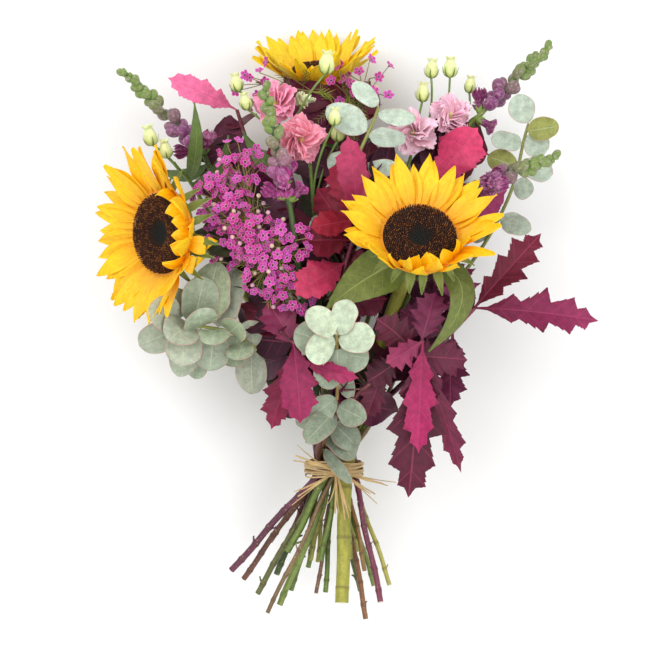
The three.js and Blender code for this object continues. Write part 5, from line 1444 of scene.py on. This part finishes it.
class Finish:
    """A material whose colour starts from the tint of each corner."""

    def __init__(self, name, **values):
        self.material = bpy.data.materials.new(name)
        self.material.use_nodes = True
        self.tree = self.material.node_tree
        self.shader = self.tree.nodes["Principled BSDF"]
        for key, value in values.items():
            self.shader.inputs[key.replace("_", " ")].default_value = value
        self.colour = self.node("Attribute", attribute_name="tint")
        split = self.node("SeparateXYZ", self.node("UVMap", uv_map="UVMap")).node
        self.u, self.along = split.outputs[0], split.outputs[1]
        self.place = self.node("TexCoord", out=3)
        self.height = None

    def node(self, kind, *inputs, out=0, named=(), **settings):
        """Adds a node and links or sets its inputs, in order or as named. Returns one of its outputs."""
        node = self.tree.nodes.new("ShaderNode" + kind)
        for key, value in settings.items():
            setattr(node, key, value)
        for key, value in [*enumerate(inputs), *dict(named).items()]:
            if isinstance(value, bpy.types.NodeSocket):
                self.tree.links.new(value, node.inputs[key])
            elif value is not None:
                node.inputs[key].default_value = value
        return node.outputs[out]

    def sum(self, operation, *values):
        return self.node("Math", *values, operation=operation)

    def times(self, a, b):
        return self.sum("MULTIPLY", a, b)

    def between(self, value, low, high, start=0.0, stop=1.0):
        """start where the value is low, stop where it is high, and smooth in between."""
        return self.node("MapRange", value, low, high, start, stop, interpolation_type="SMOOTHSTEP")

    def noise(self, scale, detail=3.0, stretch=None):
        """Noise with features of about 1/scale of the unit, on the object or, stretched, along the leaf."""
        place = self.place
        if stretch:
            u, along = self.times(self.u, stretch[0]), self.times(self.along, stretch[1])
            place = self.node("CombineXYZ", u, along, 0.0)
        return self.node("TexNoise", named={"Vector": place, "Scale": scale, "Detail": detail})

    def blend(self, share, colour):
        mix = {0: share, 6: self.colour, 7: (*colour, 1)}
        self.colour = self.node("Mix", named=mix, out=2, data_type="RGBA")

    def shade(self, value, low, high):
        """Lightens and darkens the colour from low to high times its own value."""
        value = self.node("MapRange", value, 0.3, 0.7, low, high)
        self.colour = self.node("HueSaturation", named={"Value": value, "Color": self.colour})

    def relief(self, height, amount):
        """Adds a height, in millimetres where it is 1, to the bump."""
        part = self.times(height, amount)
        self.height = part if self.height is None else self.sum("ADD", self.height, part)

    def side(self):
        """0 on the middle line of a leaf or petal, 1 at its edges."""
        return self.sum("ABSOLUTE", self.sum("MULTIPLY_ADD", self.u, 2.0, -1.0))

    def done(self):
        self.tree.links.new(self.colour, self.shader.inputs["Base Color"])
        if self.height is not None:
            bump = self.node("Bump", named={"Strength": 0.6, "Distance": 0.001, "Height": self.height})
            self.tree.links.new(bump, self.shader.inputs["Normal"])
        return self.material


def soft(weight, scale, **values):
    """The settings of a surface that lets some light through."""
    return {"Subsurface_Weight": weight, "Subsurface_Scale": scale, **values}


def veined(name, rib, rim, period, slant, rib_share, rim_share, **values):
    """A leaf with a midrib, side veins that lean towards the tip, mottling and a rim of another colour."""
    finish = Finish(name, **values)
    mottle, grain = finish.noise(170, 5), finish.noise(1300, 2)
    finish.shade(mottle, 0.78, 1.2)
    finish.shade(finish.noise(620, 4), 0.88, 1.1)
    side = finish.side()
    lean = finish.sum("SUBTRACT", finish.along, finish.times(side, slant))
    uneven = finish.sum("MULTIPLY_ADD", mottle, 0.012, lean)
    wave = finish.sum("PINGPONG", finish.sum("DIVIDE", uneven, period), 0.5)
    fading = finish.between(side, 0.5, 1.0, 1.0, 0.15)
    veins = finish.times(finish.between(wave, 0.0, 0.055, 1.0, 0.0), fading)
    midrib = finish.between(side, 0.0, 0.06, 1.0, 0.0)
    both = finish.sum("MAXIMUM", midrib, finish.times(veins, 0.55))
    finish.blend(finish.times(both, rib_share), rib)
    finish.blend(finish.times(finish.between(side, 0.93, 1.0), rim_share), rim)
    for height, amount in ((both, -0.35), (mottle, 0.25), (grain, 0.08)):
        finish.relief(height, amount)
    return finish


def streaked(name, stretch, low, high, bump, **values):
    """A petal or stem whose colour runs in fine streaks along it."""
    finish = Finish(name, **values)
    streaks = finish.noise(1.0, 4, stretch)
    finish.shade(streaks, low, high)
    finish.shade(finish.noise(240, 4), 0.9, 1.1)
    finish.relief(streaks, bump)
    finish.relief(finish.noise(1500, 2), 0.05)
    return finish


def grained(name, scale, detail, low, high, **values):
    """A surface with only fine mottling."""
    finish = Finish(name, **values)
    finish.shade(finish.noise(scale, detail), low, high)
    return finish


def make_materials():
    ray = streaked("ray_petal", (16, 1.2), 0.88, 1.08, 0.5, Roughness=0.55, **soft(0.08, 0.003))
    ray.blend(ray.between(ray.along, 0.05, 0.6, 0.5, 0.0), rgb(242, 150, 0))
    petal = streaked(
        "ruffled_petal", (14, 1.5), 0.93, 1.05, 0.35, Roughness=0.55, **soft(0.2, 0.004, Sheen_Weight=0.15),
    )
    petal.blend(petal.between(petal.along, 0.04, 0.3, 0.85, 0.0), rgb(206, 214, 120))
    snap = streaked(
        "snapdragon_petal", (12, 2), 0.78, 1.2, 0.3, Roughness=0.5, **soft(0.1, 0.003, Sheen_Weight=0.2),
    )
    snap.blend(snap.times(snap.between(snap.noise(420, 3), 0.5, 0.66), 0.35), rgb(206, 170, 190))
    wax = grained("waxflower_petal", 700, 3, 0.85, 1.2, Roughness=0.38, **soft(0.15, 0.002))
    wax.blend(wax.between(wax.side(), 0.55, 1.0, 0.0, 0.45), rgb(236, 150, 214))
    wax.relief(wax.noise(1800, 2), 0.15)
    disc = grained("disc_floret", 900, 3, 0.6, 1.5, Roughness=0.8)
    disc.relief(disc.noise(2400, 2), 0.3)
    stem = streaked("stem_skin", (7, 0.5), 0.75, 1.22, 0.35, Roughness=0.5)
    stem.blend(stem.times(stem.between(stem.noise(500, 2), 0.6, 0.72), 0.4), rgb(196, 186, 120))
    finishes = {
        "ray": ray, "petal": petal, "snap": snap, "wax": wax, "disc": disc, "stem": stem,
        "bud": streaked("cream_bud", (7, 1.4), 0.92, 1.06, 0.25, Roughness=0.5, **soft(0.15, 0.004)),
        "green": streaked("calyx_green", (9, 2), 0.84, 1.16, 0.3, Roughness=0.6),
        "raffia": streaked("raffia_fibre", (10, 0.8), 0.72, 1.16, 0.6, Roughness=0.7),
        "needle": streaked("needle_skin", (4, 1), 0.85, 1.15, 0.1, Roughness=0.5),
        "hair": grained("plant_hair", 300, 2, 0.9, 1.1, Roughness=0.6),
        "eucalyptus": veined(
            "eucalyptus_leaf", rgb(206, 216, 180), rgb(196, 140, 134), 0.105, 0.22, 0.5, 0.75,
            Roughness=0.62, **soft(0.05, 0.002),
        ),
        "oak": veined(
            "oak_leaf", rgb(184, 74, 110), rgb(80, 16, 36), 0.205, 0.17, 0.34, 0.4,
            Roughness=0.5, Specular_IOR_Level=0.28, **soft(0.04, 0.002),
        ),
        "leaf": veined(
            "green_leaf", rgb(160, 168, 96), rgb(80, 96, 40), 0.1, 0.16, 0.7, 0.4,
            Roughness=0.55, **soft(0.05, 0.002),
        ),
    }
    return {kind: finish.done() for kind, finish in finishes.items()}


SLOTS = {
    "lisianthus": "lisianthus_green", "snapdragon": "snapdragon", "waxflower": "waxflower",
    "eucalyptus": "eucalyptus_leaf", "oak": "oak_leaf", "raffia": "raffia", "sunflower": "sunflower_green",
    "bloom_pink_left": "petal_pink", "bloom_pink_centre": "petal_pink", "bloom_pink_right": "petal_pale_pink",
    "bloom_pink_high": "petal_pale_pink", "bloom_white": "petal_cream",
}


def slot_of(node):
    if node.endswith("_disc"):
        return "sunflower_disc"
    if node.endswith("_rays"):
        return "sunflower_ray"
    return SLOTS.get(node) or SLOTS[kind_of(node)]


# ---- the bunch ----

for name in STEMS:
    grow_stem(name)
grow_tie()
for name in SUNFLOWERS:
    grow_cup(name)
    grow_disc(name)
    grow_rays(name)
for name in SNAPDRAGONS:
    grow_spike(name)
for node in BLOOMS:
    grow_bloom(node)
for n in range(len(BUDS)):
    grow_bud(n)
for n in range(len(CLUSTERS)):
    grow_cluster(n)
for n in range(len(CLUSTERS)):
    fill_cluster(n)
grow_leaves()
fill_foliage()

materials = make_materials()
for (node, kind), shape in shapes.items():
    shape.dress(f"{node}.{kind}", materials[kind], slot_of(node), node)

# ---- floor, light and camera, in metres ----

FLOOR_REACH = 4
LIT = (-0.02, 0.0, 0.1)  # where the lights point
CAMERA_HIGH = 1.8  # above the tie
CAMERA_OVER = (-0.018, -0.007)
FRAME_WIDE = 0.6175  # what the photograph spans at the height of the tie
SENSOR = 36  # in millimetres


def make_floor():
    mesh = bpy.data.meshes.new("floor")
    corners = [(x * FLOOR_REACH, y * FLOOR_REACH, 0) for x, y in ((-1, -1), (1, -1), (1, 1), (-1, 1))]
    mesh.from_pydata(corners, [], [(0, 1, 2, 3)])
    floor = bpy.data.objects.new("floor", mesh)
    finish = bpy.data.materials.new("floor_white")
    finish.use_nodes = True
    shader = finish.node_tree.nodes["Principled BSDF"]
    shader.inputs["Base Color"].default_value = (0.93, 0.93, 0.93, 1)
    shader.inputs["Roughness"].default_value = 0.9
    mesh.materials.append(finish)
    bpy.context.scene.collection.objects.link(floor)


def add_light(name, place, size, power):
    light = bpy.data.lights.new(name, "AREA")
    light.shape, light.size, light.energy = "SQUARE", size, power
    lamp = bpy.data.objects.new(name, light)
    lamp.location = place
    lamp.rotation_euler = (Vector(LIT) - Vector(place)).to_track_quat("-Z", "Y").to_euler()
    bpy.context.scene.collection.objects.link(lamp)


make_floor()
add_light("key_light", (-0.9, 0.9, 1.7), 1.5, 22)
add_light("fill_light", (1.1, 0.1, 1.5), 1.5, 13)
add_light("low_light", (0.1, -1.2, 1.2), 1.0, 7)

world = bpy.data.worlds.new("studio")
bpy.context.scene.world = world
world.use_nodes = True
world.node_tree.nodes["Background"].inputs["Color"].default_value = (1, 1, 1, 1)
world.node_tree.nodes["Background"].inputs["Strength"].default_value = 0.66

lens = bpy.data.cameras.new("camera")
lens.sensor_fit = "HORIZONTAL"
lens.sensor_width = SENSOR
lens.lens = SENSOR * CAMERA_HIGH / FRAME_WIDE
camera = bpy.data.objects.new("camera", lens)
camera.location = (*CAMERA_OVER, CAMERA_HIGH + TIE_AT[2] / METRE)
bpy.context.scene.collection.objects.link(camera)
bpy.context.scene.camera = camera
bpy.context.scene.view_settings.view_transform = "Standard"
